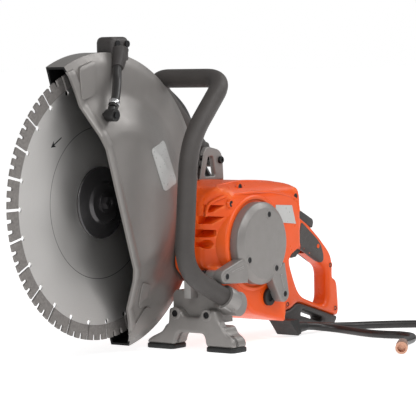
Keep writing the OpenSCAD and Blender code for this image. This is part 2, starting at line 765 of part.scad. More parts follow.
module stand() color("darkgray") placed() at_ground() {
    front = [
        [30, 62], [50, 62], [58, 50], [86, 50], [92, 62], [116, 62], [122, 44], [128, 38],
        [134, 28], [146, 20], [stand_left, 14], [stand_left, pad_t], [98, pad_t], [96, 20],
        [92, 26], [48, 26], [42, 20], [38, pad_t], [-12, pad_t], [-12, 12], [-4, 17], [16, 26],
        [28, 38]
    ];
    feet = [
        [22, 36], [130, 36], [134, 28], [146, 20], [stand_left, 14], [stand_left, pad_t],
        [98, pad_t], [96, 20], [92, 26], [48, 26], [42, 20], [38, pad_t], [-12, pad_t],
        [-12, 12], [-4, 17], [14, 26]
    ];
    difference() {
        union() {
            lengthwise(front, -stand_x - 12, -stand_x);
            lengthwise(feet, -stand_x - stand_depth, -stand_x - 12 + e);
            box([-stand_x - stand_depth, 36, 36 - e], [-stand_x - 12 + e, 110, frame_bottom]);
        }
        for (y = stand_bolt_y)
            translate([-stand_x - 20, y, stand_bolt_z]) rotate([0, 90, 0]) cylinder(r = 4, h = 30);
    }
}

module stand_pads() color("black") placed() at_ground()
    for (side = [[-13.5, 38], [97.5, stand_left + 1.5]])
        box([-stand_x - stand_depth - 2, side[0], 0], [-stand_x + 2, side[1], pad_t]);

// ---- rear handle ----

grip_near = grip_mid + grip_w / 2;
grip_far = grip_mid - grip_w / 2;

// Outline and opening of the D handle, measured from the motor's axis
d_outline = [
    [-housing_rear, 60], [-142, 60], [-160, 42], [-175, 28], [-202, 13], [-229, -7],
    [-256, -31], [-263, -41], [-266, -54], [-266, -75], [-275, -79], [-279, -87],
    [-handle_rear, -118], [-handle_rear, -131], [-278, -138], [-265, -135], [-177, -109],
    [-166, -108], [-150, -116], [-housing_rear, -120]
];
d_opening = [
    [-148, -34], [-148, -44], [-153, -56], [-161, -74], [-171, -91], [-185, -101],
    [-212, -110], [-234, -117], [-243, -115], [-248, -106], [-248, -64], [-240, -54],
    [-224, -46], [-197, -32], [-176, -22]
];
handle_screw_places = [[-258, -54], [-270, -126], [-136, -106]];

module handle_half(y0, y1, cavity_from, cavity_to) {
    at_motor() difference() {
        plate(d_outline, y0, y1);
        plate(d_opening, y0 - 1, y1 + 1);
        // room for the trigger, the lock-out and the switch, and a hollow
        handle_room(trigger_room, y0, y1);
        handle_room(lockout_room, y0, y1);
        box([-150, cavity_from, -2], [-housing_rear - 5, cavity_to, 47]);
        box([-276, cavity_from, -126], [-252, cavity_to, -92]);
        for (p = [trigger_pin, lockout_pin]) across(p, y0 - 1, y1 + 1, pin_r);
    }
}

pin_r = 2;
trigger_pin = [-199, -16];
lockout_pin = [-176, 12];
trigger_w = 13;
inlay_t = 2.5;
trigger_room = [
    [-156, -34], [-156, -22], [-182, -3], [-210, -3], [-210, -21], [-197, -33], [-176, -25]
];
lockout_room = [[-164, 2], [-164, 52], [-232, 26], [-232, -10], [-214, -1], [-194, 4]];

module handle_room(outline, y0, y1) {
    side = trigger_w / 2 + air_gap;
    plate(outline, max(y0 - 1, grip_mid - side), min(y1 + 1, grip_mid + side));
}

module rear_handle_left() color("orangered") placed() {
    handle_half(grip_mid, grip_near - inlay_t, grip_mid - 1, grip_near - 5);
    at_motor() difference() {
        plate(d_outline, grip_near - inlay_t - e, grip_near);
        plate(d_opening, grip_near - inlay_t - 1, grip_near + 1);
        plate(inlay_outline, grip_near - inlay_t - 1, grip_near + 1);
    }
}
module rear_handle_right() color("orangered") placed() {
    handle_half(grip_far + inlay_t, grip_mid, grip_far + 5, grip_mid + 1);
    at_motor() difference() {
        plate(d_outline, grip_far, grip_far + inlay_t + e);
        plate(d_opening, grip_far - 1, grip_far + inlay_t + 1);
        plate(inlay_outline, grip_far - 1, grip_far + inlay_t + 1);
    }
}

inlay_outline = [
    [-177, 20], [-201, 3], [-220, -10], [-231, -21], [-238, -38], [-236, -51], [-224, -46],
    [-197, -32], [-176, -22], [-170, -4]
];

module grip_inlays() color("dimgray") placed() at_motor()
    for (y = [grip_far, grip_near - inlay_t]) plate(inlay_outline, y, y + inlay_t);

// A lever that turns on a pin
module lever(outline, pin) {
    difference() {
        plate(outline, grip_mid - trigger_w / 2, grip_mid + trigger_w / 2);
        across(pin, grip_mid - trigger_w, grip_mid + trigger_w, pin_r + running_gap);
    }
}

module trigger() color("dimgray") placed() at_motor() lever(
    [[-205, -10], [-205, -20], [-197, -26], [-190, -25], [-174, -36], [-163, -37], [-160, -33],
     [-184, -12], [-192, -9]], trigger_pin);

module lockout_lever() color("dimgray") placed() at_motor() lever(
    [[-169, 8], [-170, 22], [-176, 38], [-188, 37], [-222, 21], [-224, 17], [-220, 6],
     [-200, 15], [-184, 12], [-178, 6]], lockout_pin);

module handle_pins() color("silver") placed() at_motor()
    for (p = [trigger_pin, lockout_pin])
        across(p, grip_far + inlay_t + air_gap, grip_near - inlay_t - air_gap, pin_r - seat_gap);

module trigger_switch() color("dimgray") placed() at_motor()
    box([-149, grip_mid - 8, 2], [-130, grip_mid + 8, 44]);

module control_board() color("seagreen") placed() at_motor() {
    box([-106, motor_front + 8, -104], [-104, recess_y - 10, 60]);
    for (z = [-90, -50, -10, 30])
        box([-104 - e, motor_front + 12, z], [-92, motor_front + 30, z + 24]);
}

module handle_bumper() color("black") placed() at_motor() difference() {
    plate([[-housing_rear, -120], [-150, -116], [-166, -108], [-177, -109], [-265, -135],
           [-277, -138], [-277, -143], [-268, floor_rel], [-244, floor_rel], [-168, -137],
           [-housing_rear, -134]], grip_far + 1, grip_near - 1);
    plate([[-180, -119], [-236, -136], [-238, -142], [-230, -143], [-176, -128]], grip_far,
          grip_near);
}

// ---- cables and hoses ----

module cable_inlet() color("black") placed() {
    at_motor() plate([[-88, -housing_floor], [-112, -housing_floor], [-118, floor_rel + 6],
                      [-110, floor_rel + 3]], 76, 116);
    for (start = [cable_points[0], water_hose_points[0]])
        at_ground() between([motor_x - 113, start.y, start.z], start, 9.5, 7.2);
}

module feed_hose() color("black") placed() tube(smooth(feed_points), feed_r);
module power_cable() color("black") placed() at_ground() {
    tube(smooth(cable_points), cable_r);
    tube(tail_points, cable_r);
}
module water_hose() color("black") placed() at_ground()
    tube(smooth(water_hose_points), water_hose_r);

module power_cable_coil() color("black") placed() at_ground()
    translate([coil_at.x, coil_at.y, 0]) rotate_extrude()
        polygon([[coil_r - turn_gap, 0], [coil_r + turn_gap, 0], [coil_r + turn_gap, 12],
                 [coil_r + 6, 22.4], [coil_r - 6, 22.4], [coil_r - turn_gap, 12]]);

module cable_tie() color("gray") placed() at_ground()
    translate([coil_at.x, coil_at.y, 0]) rotate([0, 0, 200]) difference() {
        box([coil_r - 15, -5, 0], [coil_r + 15, 5, 25]);
        box([coil_r - 13.5, -6, -1], [coil_r + 13.5, 6, 23.2]);
    }

module cable_plug() color("dimgray") placed() at_ground() {
    a = tail_points[len(tail_points) - 1];
    plug_r = 20;
    boot = 30;
    neck = 18;
    shell = 66;
    translate(a) rotate([0, 90, 0]) cylinder(r1 = cable_r + 0.5, r2 = 9, h = boot);
    translate([a.x + boot - e, a.y, plug_r]) rotate([0, 90, 0])
        cylinder(r1 = 13, r2 = plug_r, h = neck);
    translate([a.x + boot + neck - 2 * e, a.y, plug_r]) rotate([0, 90, 0]) {
        difference() {
            cylinder(r = plug_r, h = shell);
            translate([0, 0, shell - 26]) cylinder(r = plug_r - 3, h = 30);
        }
        for (i = [0 : 3]) rotate([0, 0, i * 90]) translate([9, 0, shell - 28])
            cylinder(r = 2.4, h = 22);
    }
}

module hose_coupling() color("peru") placed() at_ground() {
    last = water_hose_points[len(water_hose_points) - 1];
    d = unit([0.86, 0.51, 0]);
    sleeve = 22;
    length = 50;
    socket = 14;
    between(last, last + d * sleeve, 8.2);
    difference() {
        between(last + d * (sleeve - 2), last + d * length, last.z);
        between(last + d * (length - socket), last + d * (length + 1), 6);
    }
}

blade_core();
blade_segments();
outer_flange();
inner_flange();
blade_bolt();
spindle();
spindle_pulley();
motor_shaft();
rotor_core();
motor_pulley();
cooling_fan();
guard_shell();
guard_grip();
guard_screws();
guard_hose();
hose_clamp();
hose_elbow();
water_nozzles();
arm_housing();
spindle_bearings();
motor_bearings();
belt_guard();
drive_belt();
motor_casing();
stator_core();
stator_windings();
side_cover();
side_cover_screws();
name_plate();
casing_screws();
handle_tube();
handle_sleeve();
handle_end_fitting();
handle_frame();
upper_bracket();
frame_bolts();
upper_damper();
lower_spring();
spring_seat();
rubber_stop();
stand();
stand_pads();
rear_handle_left();
rear_handle_right();
grip_inlays();
handle_bumper();
trigger();
lockout_lever();
handle_pins();
trigger_switch();
control_board();
cable_inlet();
feed_hose();
power_cable();
power_cable_coil();
cable_tie();
cable_plug();
water_hose();
hose_coupling();
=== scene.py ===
import json
import math
import bmesh
import bpy
from mathutils import Matrix, Vector
from mathutils.geometry import delaunay_2d_cdt


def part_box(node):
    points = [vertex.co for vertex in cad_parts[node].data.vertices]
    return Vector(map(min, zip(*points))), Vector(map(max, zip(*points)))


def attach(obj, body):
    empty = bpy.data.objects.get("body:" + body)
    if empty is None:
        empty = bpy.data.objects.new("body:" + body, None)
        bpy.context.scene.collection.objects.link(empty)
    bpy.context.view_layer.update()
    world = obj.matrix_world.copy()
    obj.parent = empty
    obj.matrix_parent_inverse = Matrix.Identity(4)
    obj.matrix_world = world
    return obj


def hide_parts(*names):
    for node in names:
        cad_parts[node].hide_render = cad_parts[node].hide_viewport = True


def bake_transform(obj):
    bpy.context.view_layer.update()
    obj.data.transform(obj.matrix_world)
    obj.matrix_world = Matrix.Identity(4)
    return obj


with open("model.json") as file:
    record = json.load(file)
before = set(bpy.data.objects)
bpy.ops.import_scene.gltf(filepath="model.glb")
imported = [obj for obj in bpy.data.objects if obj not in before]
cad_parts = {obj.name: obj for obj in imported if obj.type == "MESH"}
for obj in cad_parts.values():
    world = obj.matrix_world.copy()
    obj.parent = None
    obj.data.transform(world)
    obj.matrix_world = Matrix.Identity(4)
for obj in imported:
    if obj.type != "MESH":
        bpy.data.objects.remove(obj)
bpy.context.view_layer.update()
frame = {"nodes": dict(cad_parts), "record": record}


# ---- places: X forwards, Y left and Z up, in millimetres from the blade's centre ----

def middle(node):
    low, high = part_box(node)
    return (Vector(low) + Vector(high)) / 2


ORIGIN = middle("blade_core")
MOTOR = (middle("rotor_core") - ORIGIN) * 1000
MX, MZ = MOTOR.x, MOTOR.z
AT_MOTOR = (MX, MZ)
GROUND = -ORIGIN.z * 1000


def W(p):
    """A point in millimetres from the blade's centre, as the frame has it in metres."""
    return ORIGIN + Vector(p) / 1000


def rad(a):
    return math.radians(a)


# ---- camera ----

def add_camera():
    azimuth, elevation, roll = rad(37.181), rad(3.6), rad(-0.94875)
    distance, aside, above = 3486.31, -157.79, 7.864
    focal_pixels, picture_pixels, sensor = 2400, 416, 36
    back = Vector((math.cos(azimuth) * math.cos(elevation),
                   math.sin(azimuth) * math.cos(elevation), math.sin(elevation)))
    right = Vector((0, 0, 1)).cross(back).normalized()
    up = back.cross(right)
    across = right * math.cos(roll) + up * math.sin(roll)
    upright = up * math.cos(roll) - right * math.sin(roll)
    data = bpy.data.cameras.new("camera")
    data.sensor_width = sensor
    data.lens = sensor * focal_pixels / picture_pixels
    data.clip_end = 100
    camera = bpy.data.objects.new("camera", data)
    bpy.context.collection.objects.link(camera)
    turn = Matrix((across, upright, back)).transposed().to_4x4()
    turn.translation = W(back * distance - across * aside - upright * above)
    camera.matrix_world = turn
    bpy.context.scene.camera = camera


add_camera()


# ---- materials ----

class Nodes:
    """A material that is built node by node."""

    def __init__(self, name):
        self.mat = bpy.data.materials.new(name)
        self.mat.use_nodes = True
        self.tree = self.mat.node_tree
        self.shader = self.tree.nodes["Principled BSDF"]

    def add(self, kind, **values):
        node = self.tree.nodes.new(kind)
        for key, value in values.items():
            if key in node.inputs:
                node.inputs[key].default_value = value
            else:
                setattr(node, key, value)
        return node

    def link(self, a, b):
        self.tree.links.new(a, b)

    def noise(self, scale, detail):
        node = self.add("ShaderNodeTexNoise", Scale=scale, Detail=detail)
        self.link(self.coords(), node.inputs["Vector"])
        return node.outputs["Fac"]

    def coords(self):
        if not hasattr(self, "_coords"):
            self._coords = self.add("ShaderNodeTexCoord").outputs["Object"]
        return self._coords

    def span(self, value, low, high, start=0.3, stop=0.7):
        """A value from start to stop stretched to run from low to high."""
        node = self.add("ShaderNodeMapRange")
        for k, v in enumerate((start, stop, low, high)):
            node.inputs[k + 1].default_value = v
        self.link(value, node.inputs[0])
        return node.outputs[0]

    def mix(self, value, a, b):
        """From a to b, each of them a colour or another node's output."""
        node = self.add("ShaderNodeMix", data_type="RGBA")
        ends = [s for s in node.inputs if s.type == "RGBA"]
        for end, colour in zip(ends, (a, b)):
            if isinstance(colour, bpy.types.NodeSocket):
                self.link(colour, end)
            else:
                end.default_value = (*colour, 1)
        self.link(value, node.inputs[0])
        return [s for s in node.outputs if s.type == "RGBA"][0]

    def bump(self, value, strength, distance=0.0004):
        node = self.add("ShaderNodeBump", Strength=strength, Distance=distance)
        self.link(value, node.inputs["Height"])
        self.link(node.outputs[0], self.shader.inputs["Normal"])


def scaled(colour, k):
    return tuple(min(1.0, c * k) for c in colour)


def plain(name, colour, rough, metal=0.0, vary=0.08, patch=45, grain=900, depth=0.25, spec=None,
          worn=None):
    """A grained surface whose colour varies in patches; worn is the colour of its edges."""
    spread = 0.06
    n = Nodes(name)
    broad = n.noise(patch, 4)
    fine = n.noise(grain, 2)
    tint = n.mix(n.span(broad, 0, 1), scaled(colour, 1 - vary), scaled(colour, 1 + vary))
    if worn:
        edge = n.add("ShaderNodeNewGeometry").outputs["Pointiness"]
        tint = n.mix(n.span(edge, 0, 0.6, 0.53, 0.62), tint, worn)
    n.link(tint, n.shader.inputs["Base Color"])
    n.link(n.span(n.noise(patch * 5, 3), rough - spread, rough + spread),
           n.shader.inputs["Roughness"])
    n.shader.inputs["Metallic"].default_value = metal
    if spec is not None:
        n.shader.inputs["Specular IOR Level"].default_value = spec
    n.bump(fine, depth)
    return n.mat


def turned_metal(name, colour, rough, metal, aniso, lines=2500, marks=()):
    """Metal with fine circles round the blade's axis.

    The marks are dark rings, each with a radius and half a width in metres.
    """
    n = Nodes(name)
    sub = n.add("ShaderNodeVectorMath", operation="SUBTRACT")
    n.link(n.coords(), sub.inputs[0])
    sub.inputs[1].default_value = tuple(ORIGIN)
    flat = n.add("ShaderNodeVectorMath", operation="MULTIPLY")
    n.link(sub.outputs[0], flat.inputs[0])
    flat.inputs[1].default_value = (1, 0, 1)
    length = n.add("ShaderNodeVectorMath", operation="LENGTH")
    n.link(flat.outputs[0], length.inputs[0])
    radius = length.outputs["Value"]
    rings = n.add("ShaderNodeTexNoise", Scale=lines, Detail=2)
    rings.noise_dimensions = "1D"
    n.link(radius, rings.inputs["W"])
    broad = n.noise(9, 4)
    tint = n.mix(n.span(rings.outputs["Fac"], 0, 1), scaled(colour, 0.86), scaled(colour, 1.08))
    for r, half in marks:
        away = n.add("ShaderNodeMath", operation="SUBTRACT")
        n.link(radius, away.inputs[0])
        away.inputs[1].default_value = r
        size = n.add("ShaderNodeMath", operation="ABSOLUTE")
        n.link(away.outputs[0], size.inputs[0])
        on_mark = n.span(size.outputs[0], 1, 0, half * 0.6, half)
        tint = n.mix(on_mark, tint, scaled(colour, 0.25))
    n.link(tint, n.shader.inputs["Base Color"])
    n.link(n.span(broad, rough - 0.05, rough + 0.08), n.shader.inputs["Roughness"])
    n.shader.inputs["Metallic"].default_value = metal
    n.shader.inputs["Anisotropic"].default_value = aniso
    tangent = n.add("ShaderNodeTangent", direction_type="RADIAL", axis="Y")
    n.link(tangent.outputs[0], n.shader.inputs["Tangent"])
    n.bump(rings.outputs["Fac"], 0.12, 0.0001)
    return n.mat


PLAIN = {
    "cast_magnesium": dict(colour=(0.235, 0.222, 0.212), rough=0.40, metal=0.35, vary=0.05,
                           depth=0.35, worn=(0.5, 0.49, 0.48)),
    "guard_casting": dict(colour=(0.225, 0.212, 0.202), rough=0.36, metal=0.4, vary=0.03,
                          patch=14, depth=0.35),
    "segment_metal": dict(colour=(0.22, 0.205, 0.195), rough=0.5, metal=0.5, vary=0.15,
                          patch=300, grain=2200, depth=0.9),
    "bright_steel": dict(colour=(0.62, 0.62, 0.63), rough=0.22, metal=1, vary=0.05),
    "black_steel": dict(colour=(0.012, 0.012, 0.013), rough=0.35, metal=0.5, vary=0.2),
    "pulley_metal": dict(colour=(0.5, 0.51, 0.53), rough=0.3, metal=1, vary=0.05),
    "orange_plastic": dict(colour=(0.76, 0.082, 0.002), rough=0.33, spec=0.4, vary=0.04,
                           patch=20, grain=1500, depth=0.35, worn=(0.85, 0.16, 0.03)),
    "dark_plastic": dict(colour=(0.030, 0.026, 0.025), rough=0.50, vary=0.12, grain=1500,
                         depth=0.6, worn=(0.12, 0.11, 0.105)),
    "black_plastic": dict(colour=(0.012, 0.011, 0.011), rough=0.42, vary=0.15, depth=0.4),
    "grip_rubber": dict(colour=(0.048, 0.042, 0.039), rough=0.48, vary=0.10, patch=30,
                        grain=1800, depth=0.8),
    "black_rubber": dict(colour=(0.010, 0.010, 0.010), rough=0.55, vary=0.2, depth=0.6),
    "hose_rubber": dict(colour=(0.016, 0.0145, 0.014), rough=0.38, vary=0.15, patch=80,
                        depth=0.3),
    "label_film": dict(colour=(0.46, 0.46, 0.45), rough=0.32, metal=0.2, vary=0.03, depth=0.1),
    "copper": dict(colour=(0.60, 0.33, 0.23), rough=0.3, metal=1, vary=0.08, patch=120),
    "winding_copper": dict(colour=(0.55, 0.22, 0.08), rough=0.3, metal=1, patch=400),
    "laminations": dict(colour=(0.30, 0.30, 0.31), rough=0.4, metal=1, patch=300),
    "circuit_board": dict(colour=(0.02, 0.12, 0.05), rough=0.45, patch=200),
}
SLOTS = {name: plain(name, **values) for name, values in PLAIN.items()}
SLOTS["blade_steel"] = turned_metal("blade_steel", (0.60, 0.585, 0.57), 0.36, metal=0.95,
                                    aniso=0.6, marks=((0.1105, 0.0006),))
SLOTS["flange_steel"] = turned_metal("flange_steel", (0.075, 0.072, 0.074), 0.22, metal=0.7,
                                     aniso=0.3, lines=900)
# painted shade: near-black for the guard's right wall and inner faces, standing in for the shadow
# inside the guard
GUARD_INSIDE_PAINTED_SHADE = plain("guard_inside_painted_shade", (0.004, 0.004, 0.004), 0.6, vary=0.2, spec=0.2)
NODE_SLOT = {row["node"]: row["material_slot"] for row in frame["record"]["subparts"]}


# ---- mesh tools ----

def add_piece(name, mesh, slot, extra=()):
    piece = bpy.data.objects.new(name, mesh)
    bpy.context.collection.objects.link(piece)
    for material in (SLOTS[slot], *extra):
        mesh.materials.append(material)
    return piece


def finish_mesh(name, verts, faces, slot, body, bevel=0.0, angle=35, index=None, extra=(),
                replaces=()):
    """A piece from points in millimetres; index gives each face's material."""
    mesh = bpy.data.meshes.new(name)
    mesh.from_pydata([W(v) for v in verts], [], faces)
    mesh.validate()
    piece = add_piece(name, mesh, slot, extra)
    if index is not None:
        for polygon, k in zip(mesh.polygons, index):
            polygon.material_index = k
    return dress(piece, body, bevel, angle, replaces)


def dress(piece, body, bevel=0.0, angle=35, replaces=()):
    """Smooth a piece and soften its edges; a cutter or unfinished piece has no body."""
    bm = bmesh.new()
    bm.from_mesh(piece.data)
    bmesh.ops.remove_doubles(bm, verts=bm.verts, dist=2e-6)
    bmesh.ops.recalc_face_normals(bm, faces=bm.faces)
    bm.to_mesh(piece.data)
    bm.free()
    piece.data.shade_smooth()
    piece.data.set_sharp_from_angle(angle=rad(angle))
    if bevel:
        add_bevel(piece, bevel, angle)
    if body:
        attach(piece, body)
    if replaces:
        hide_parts(*replaces)
    return piece


def add_bevel(piece, width, angle):
    bevel = piece.modifiers.new("edges", "BEVEL")
    bevel.width = width / 1000
    bevel.segments = 2
    bevel.limit_method = "ANGLE"
    bevel.angle_limit = rad(angle)
    bevel.use_clamp_overlap = True
    bevel.harden_normals = True


def offset(points, d):
    """A closed outline moved inwards by d."""
    n = len(points)
    area = sum(points[i - 1][0] * points[i][1] - points[i][0] * points[i - 1][1]
               for i in range(n))
    side = 1 if area > 0 else -1
    result = []
    for i in range(n):
        a, b, c = (Vector(points[j % n]) for j in (i - 1, i, i + 1))
        p, q = (b - a).normalized(), (c - b).normalized()
        n1, n2 = Vector((-p.y, p.x)) * side, Vector((-q.y, q.x)) * side
        k = max(0.35, 1 + n1.dot(n2))
        result.append(tuple(b + (n1 + n2) * (d / k)))
    return result


def rounded(points, run, steps=4, closed=True):
    """An outline whose corners are rounded, starting run from each corner at most."""
    n = len(points)
    result = []
    for i in range(n):
        p = Vector(points[i])
        if not closed and i in (0, n - 1):
            result.append(tuple(p))
            continue
        r = run[i] if isinstance(run, (list, tuple)) else run
        a, c = Vector(points[i - 1]), Vector(points[(i + 1) % n])
        ra, rc = min(r, (a - p).length * 0.48), min(r, (c - p).length * 0.48)
        p0, p2 = p + (a - p).normalized() * ra, p + (c - p).normalized() * rc
        for k in range(steps + 1):
            s = k / steps
            result.append(tuple(p0 * (1 - s) ** 2 + p * 2 * s * (1 - s) + p2 * s * s))
    return result


def slab(name, outline, y0, y1, slot, body, edge=0.0, at=(0, 0), **kw):
    """A slab across the machine with an outline in X and Z; its left rim may be rounded."""
    steps = 4
    sections = [(0, y0)]
    for k in range(steps, -1, -1) if edge else [0]:
        t = rad(90) * k / steps
        sections.append((edge * (1 - math.sin(t)), y1 - edge * (1 - math.cos(t))))
    bm = bmesh.new()
    rings = []
    for d, y in sections:
        points = offset(outline, d) if d else outline
        rings.append([bm.verts.new(W((x + at[0], y, z + at[1]))) for x, z in points])
    m = len(outline)
    for low, high in zip(rings, rings[1:]):
        for i in range(m):
            bm.faces.new((low[i], low[(i + 1) % m], high[(i + 1) % m], high[i]))
    for ring in (rings[0], rings[-1]):
        end = [bm.edges.get((ring[i], ring[(i + 1) % m])) for i in range(m)]
        bmesh.ops.triangle_fill(bm, use_beauty=True, use_dissolve=False, edges=end)
    return from_bmesh(name, bm, slot, body, **kw)


def from_bmesh(name, bm, slot, body, bevel=0.0, angle=35, replaces=()):
    mesh = bpy.data.meshes.new(name)
    bm.to_mesh(mesh)
    bm.free()
    return dress(add_piece(name, mesh, slot), body, bevel, angle, replaces)


def inside(p, loop):
    """Whether a point is inside a closed outline."""
    x, y = p
    odd = False
    for (x0, y0), (x1, y1) in zip(loop, loop[1:] + loop[:1]):
        if (y0 > y) != (y1 > y) and x < x0 + (y - y0) * (x1 - x0) / (y1 - y0):
            odd = not odd
    return odd


def gap_to(p, loops):
    """How far a point is from the nearest of some closed outlines."""
    best = 1e9
    for loop in loops:
        for (x0, y0), (x1, y1) in zip(loop, loop[1:] + loop[:1]):
            dx, dy = x1 - x0, y1 - y0
            s = ((p[0] - x0) * dx + (p[1] - y0) * dy) / max(dx * dx + dy * dy, 1e-9)
            s = min(1, max(0, s))
            best = min(best, math.hypot(p[0] - x0 - s * dx, p[1] - y0 - s * dy))
    return best


def even(loop, step):
    """A closed outline cut into equal runs of about a step."""
    points = []
    for (x0, y0), (x1, y1) in zip(loop, loop[1:] + loop[:1]):
        count = max(1, round(math.hypot(x1 - x0, y1 - y0) / step))
        points += [(x0 + (x1 - x0) * k / count, y0 + (y1 - y0) * k / count)
                   for k in range(count)]
    return points


def drop(d, e):
    """How far a rim rounded by e has fallen at a distance d from its edge."""
    return 0 if d >= e else e - math.sqrt(max(0, e * e - (e - d) ** 2))


def pillow(name, outer, holes, y0, y1, e0, e1, slot, body, at=(0, 0), step=3.0, height=None,
           turn=False, **kw):
    """A plate across the machine from y0 to y1, its two rims rounded by e0 and e1.

    The height adds to its left face, by a place on its outline. With turn its outline is in
    Y and Z, and y0 and y1 are places in X.
    """
    loops = [even(loop, step) for loop in [outer] + list(holes)]

    def within(q):
        return inside(q, loops[0]) and not any(inside(q, hole) for hole in loops[1:])
    reach = max(e0, e1)
    rows = [reach * (1 - math.cos(rad(a))) for a in (14, 28, 42, 56, 70, 84)]
    points = [Vector(p) for loop in loops for p in loop]
    edges, start = [], 0
    for loop in loops:
        edges += [(start + k, start + (k + 1) % len(loop)) for k in range(len(loop))]
        start += len(loop)
    for k, loop in enumerate(loops):
        for d in rows:
            for q in offset(loop, d if k == 0 else -d):
                if within(q) and gap_to(q, loops) > d * 0.97:
                    points.append(Vector(q))
    lows = [min(p[i] for p in loops[0]) for i in (0, 1)]
    highs = [max(p[i] for p in loops[0]) for i in (0, 1)]
    grid = step * 2
    for i in range(int((highs[0] - lows[0]) / grid) + 1):
        for j in range(int((highs[1] - lows[1]) / grid) + 1):
            q = (lows[0] + (i + 0.5 * (j % 2)) * grid, lows[1] + j * grid)
            if within(q) and gap_to(q, loops) > reach * 0.95:
                points.append(Vector(q))
    verts, _, tris, _, _, _ = delaunay_2d_cdt(points, edges, [], 0, 1e-4)
    keep = [tri for tri in tris if within(sum((verts[k] for k in tri), Vector((0, 0))) / 3)]
    gaps = [gap_to(v, loops) for v in verts]

    n = len(verts)
    top = height or (lambda x, z: 0)
    out = [(v.x + at[0], y1 - drop(g, e1) + top(v.x, v.y), v.y + at[1])
           for v, g in zip(verts, gaps)]
    out += [(v.x + at[0], y0 + drop(g, e0), v.y + at[1]) for v, g in zip(verts, gaps)]
    faces = [list(t) for t in keep] + [[k + n for k in reversed(t)] for t in keep]
    sides = dict.fromkeys((a, b) for t in keep for a, b in zip(t, list(t[1:]) + [t[0]]))
    faces += [[b, a, a + n, b + n] for a, b in sides if (b, a) not in sides]
    if turn:
        out = [(y, x, z) for x, y, z in out]
    return finish_mesh(name, out, faces, slot, body, **kw)


def lathe(name, profile, slot, body, centre=(0, 0), steps=96, closed=True, index=None, lift=0,
          turn=False, **kw):
    """A solid turned about an axis across the machine from (radius, y) points.

    With turn its axis is along the machine, and its centre is in Y and Z.
    """
    verts, faces, ids = [], [], []
    m = len(profile)
    for i in range(steps):
        a = 2 * math.pi * i / steps
        for r, y in profile:
            verts.append((centre[0] + r * math.cos(a), y + lift, centre[1] + r * math.sin(a)))
    for i in range(steps):
        j = (i + 1) % steps
        for k in range(m if closed else m - 1):
            q = (k + 1) % m
            if profile[k][0] < 1e-6 and profile[q][0] < 1e-6:
                continue
            ring = [i * m + k, i * m + q, j * m + q, j * m + k]
            if profile[k][0] < 1e-6:
                ring.pop()
            if profile[q][0] < 1e-6:
                ring.pop(2)
            faces.append(ring)
            ids.append(index[k] if index else 0)
    if turn:
        verts = [(y, x, z) for x, y, z in verts]
    return finish_mesh(name, verts, faces, slot, body, index=ids if index else None, **kw)


def block(name, outline, sections, slot, body, **kw):
    """A block with an outline in X and Y, made of sections (inset, height)."""
    verts, faces = [], []
    for inset, z in sections:
        verts += [(x, y, z) for x, y in offset(outline, inset)]
    m = len(outline)
    for k in range(len(sections) - 1):
        for i in range(m):
            j = (i + 1) % m
            faces.append([k * m + i, k * m + j, (k + 1) * m + j, (k + 1) * m + i])
    faces.append(list(range(m)))
    faces.append([(len(sections) - 1) * m + i for i in range(m)])
    return finish_mesh(name, verts, faces, slot, body, **kw)


def sweep_rings(path, radii, sides):
    """Rings of points round a path; radii is one radius or one for each point."""
    path = [Vector(p) for p in path]
    n = len(path)
    up = Vector((0, 0, 1))
    rings = []
    for i, p in enumerate(path):
        t = (path[min(i + 1, n - 1)] - path[max(i - 1, 0)]).normalized()
        if i == 0 and abs(t.z) > 0.8:
            up = Vector((1, 0, 0))
        up = (up - t * up.dot(t)).normalized()
        side = t.cross(up)
        r = radii[i] if isinstance(radii, (list, tuple)) else radii
        rings.append([p + r * (math.cos(a) * up + math.sin(a) * side)
                      for a in (2 * math.pi * k / sides for k in range(sides))])
    return rings


def tube(name, path, radii, slot, body, sides, **kw):
    rings = sweep_rings(path, radii, sides)
    verts = [p for ring in rings for p in ring]
    n = len(rings)
    faces = [[i * sides + k, (i + 1) * sides + k, (i + 1) * sides + (k + 1) % sides,
              i * sides + (k + 1) % sides] for i in range(n - 1) for k in range(sides)]
    faces += [list(range(sides)), [(n - 1) * sides + k for k in range(sides - 1, -1, -1)]]
    return finish_mesh(name, verts, faces, slot, body, **kw)


def smooth_line(points, steps=6):
    """A smooth line through points."""
    p = [Vector(q) for q in points]
    result = []
    for i in range(len(p) - 1):
        a, b, c, d = p[max(i - 1, 0)], p[i], p[i + 1], p[min(i + 2, len(p) - 1)]
        for k in range(steps):
            s = k / steps
            result.append(0.5 * (2 * b + (c - a) * s + (2 * a - 5 * b + 4 * c - d) * s * s
                                 + (3 * b - a - 3 * c + d) * s * s * s))
    return result + [p[-1]]


def bend(a, p, b, run):
    """A curve round the corner p between a and b, starting run from it."""
    steps = 14
    a, p, b = Vector(a), Vector(p), Vector(b)
    p0, p2 = p + (a - p).normalized() * run, p + (b - p).normalized() * run
    return [p0 * (1 - s) ** 2 + p * 2 * s * (1 - s) + p2 * s * s
            for s in (k / steps for k in range(steps + 1))]


def cut(piece, cutter):
    change = piece.modifiers.new("cut", "BOOLEAN")
    change.object = cutter
    change.operation = "DIFFERENCE"
    change.solver = "EXACT"
    bpy.context.view_layer.update()
    graph = bpy.context.evaluated_depsgraph_get()
    mesh = bpy.data.meshes.new_from_object(piece.evaluated_get(graph))
    piece.modifiers.remove(change)
    piece.data = mesh
    bpy.data.objects.remove(cutter)


def length_of(path):
    """A path's length in metres."""
    return sum((Vector(b) - Vector(a)).length for a, b in zip(path, path[1:])) / 1000


# ---- cords ----

def on_ground(points):
    """The places of points whose heights are above the ground."""
    return [(x, y, z + GROUND) for x, y, z in points]


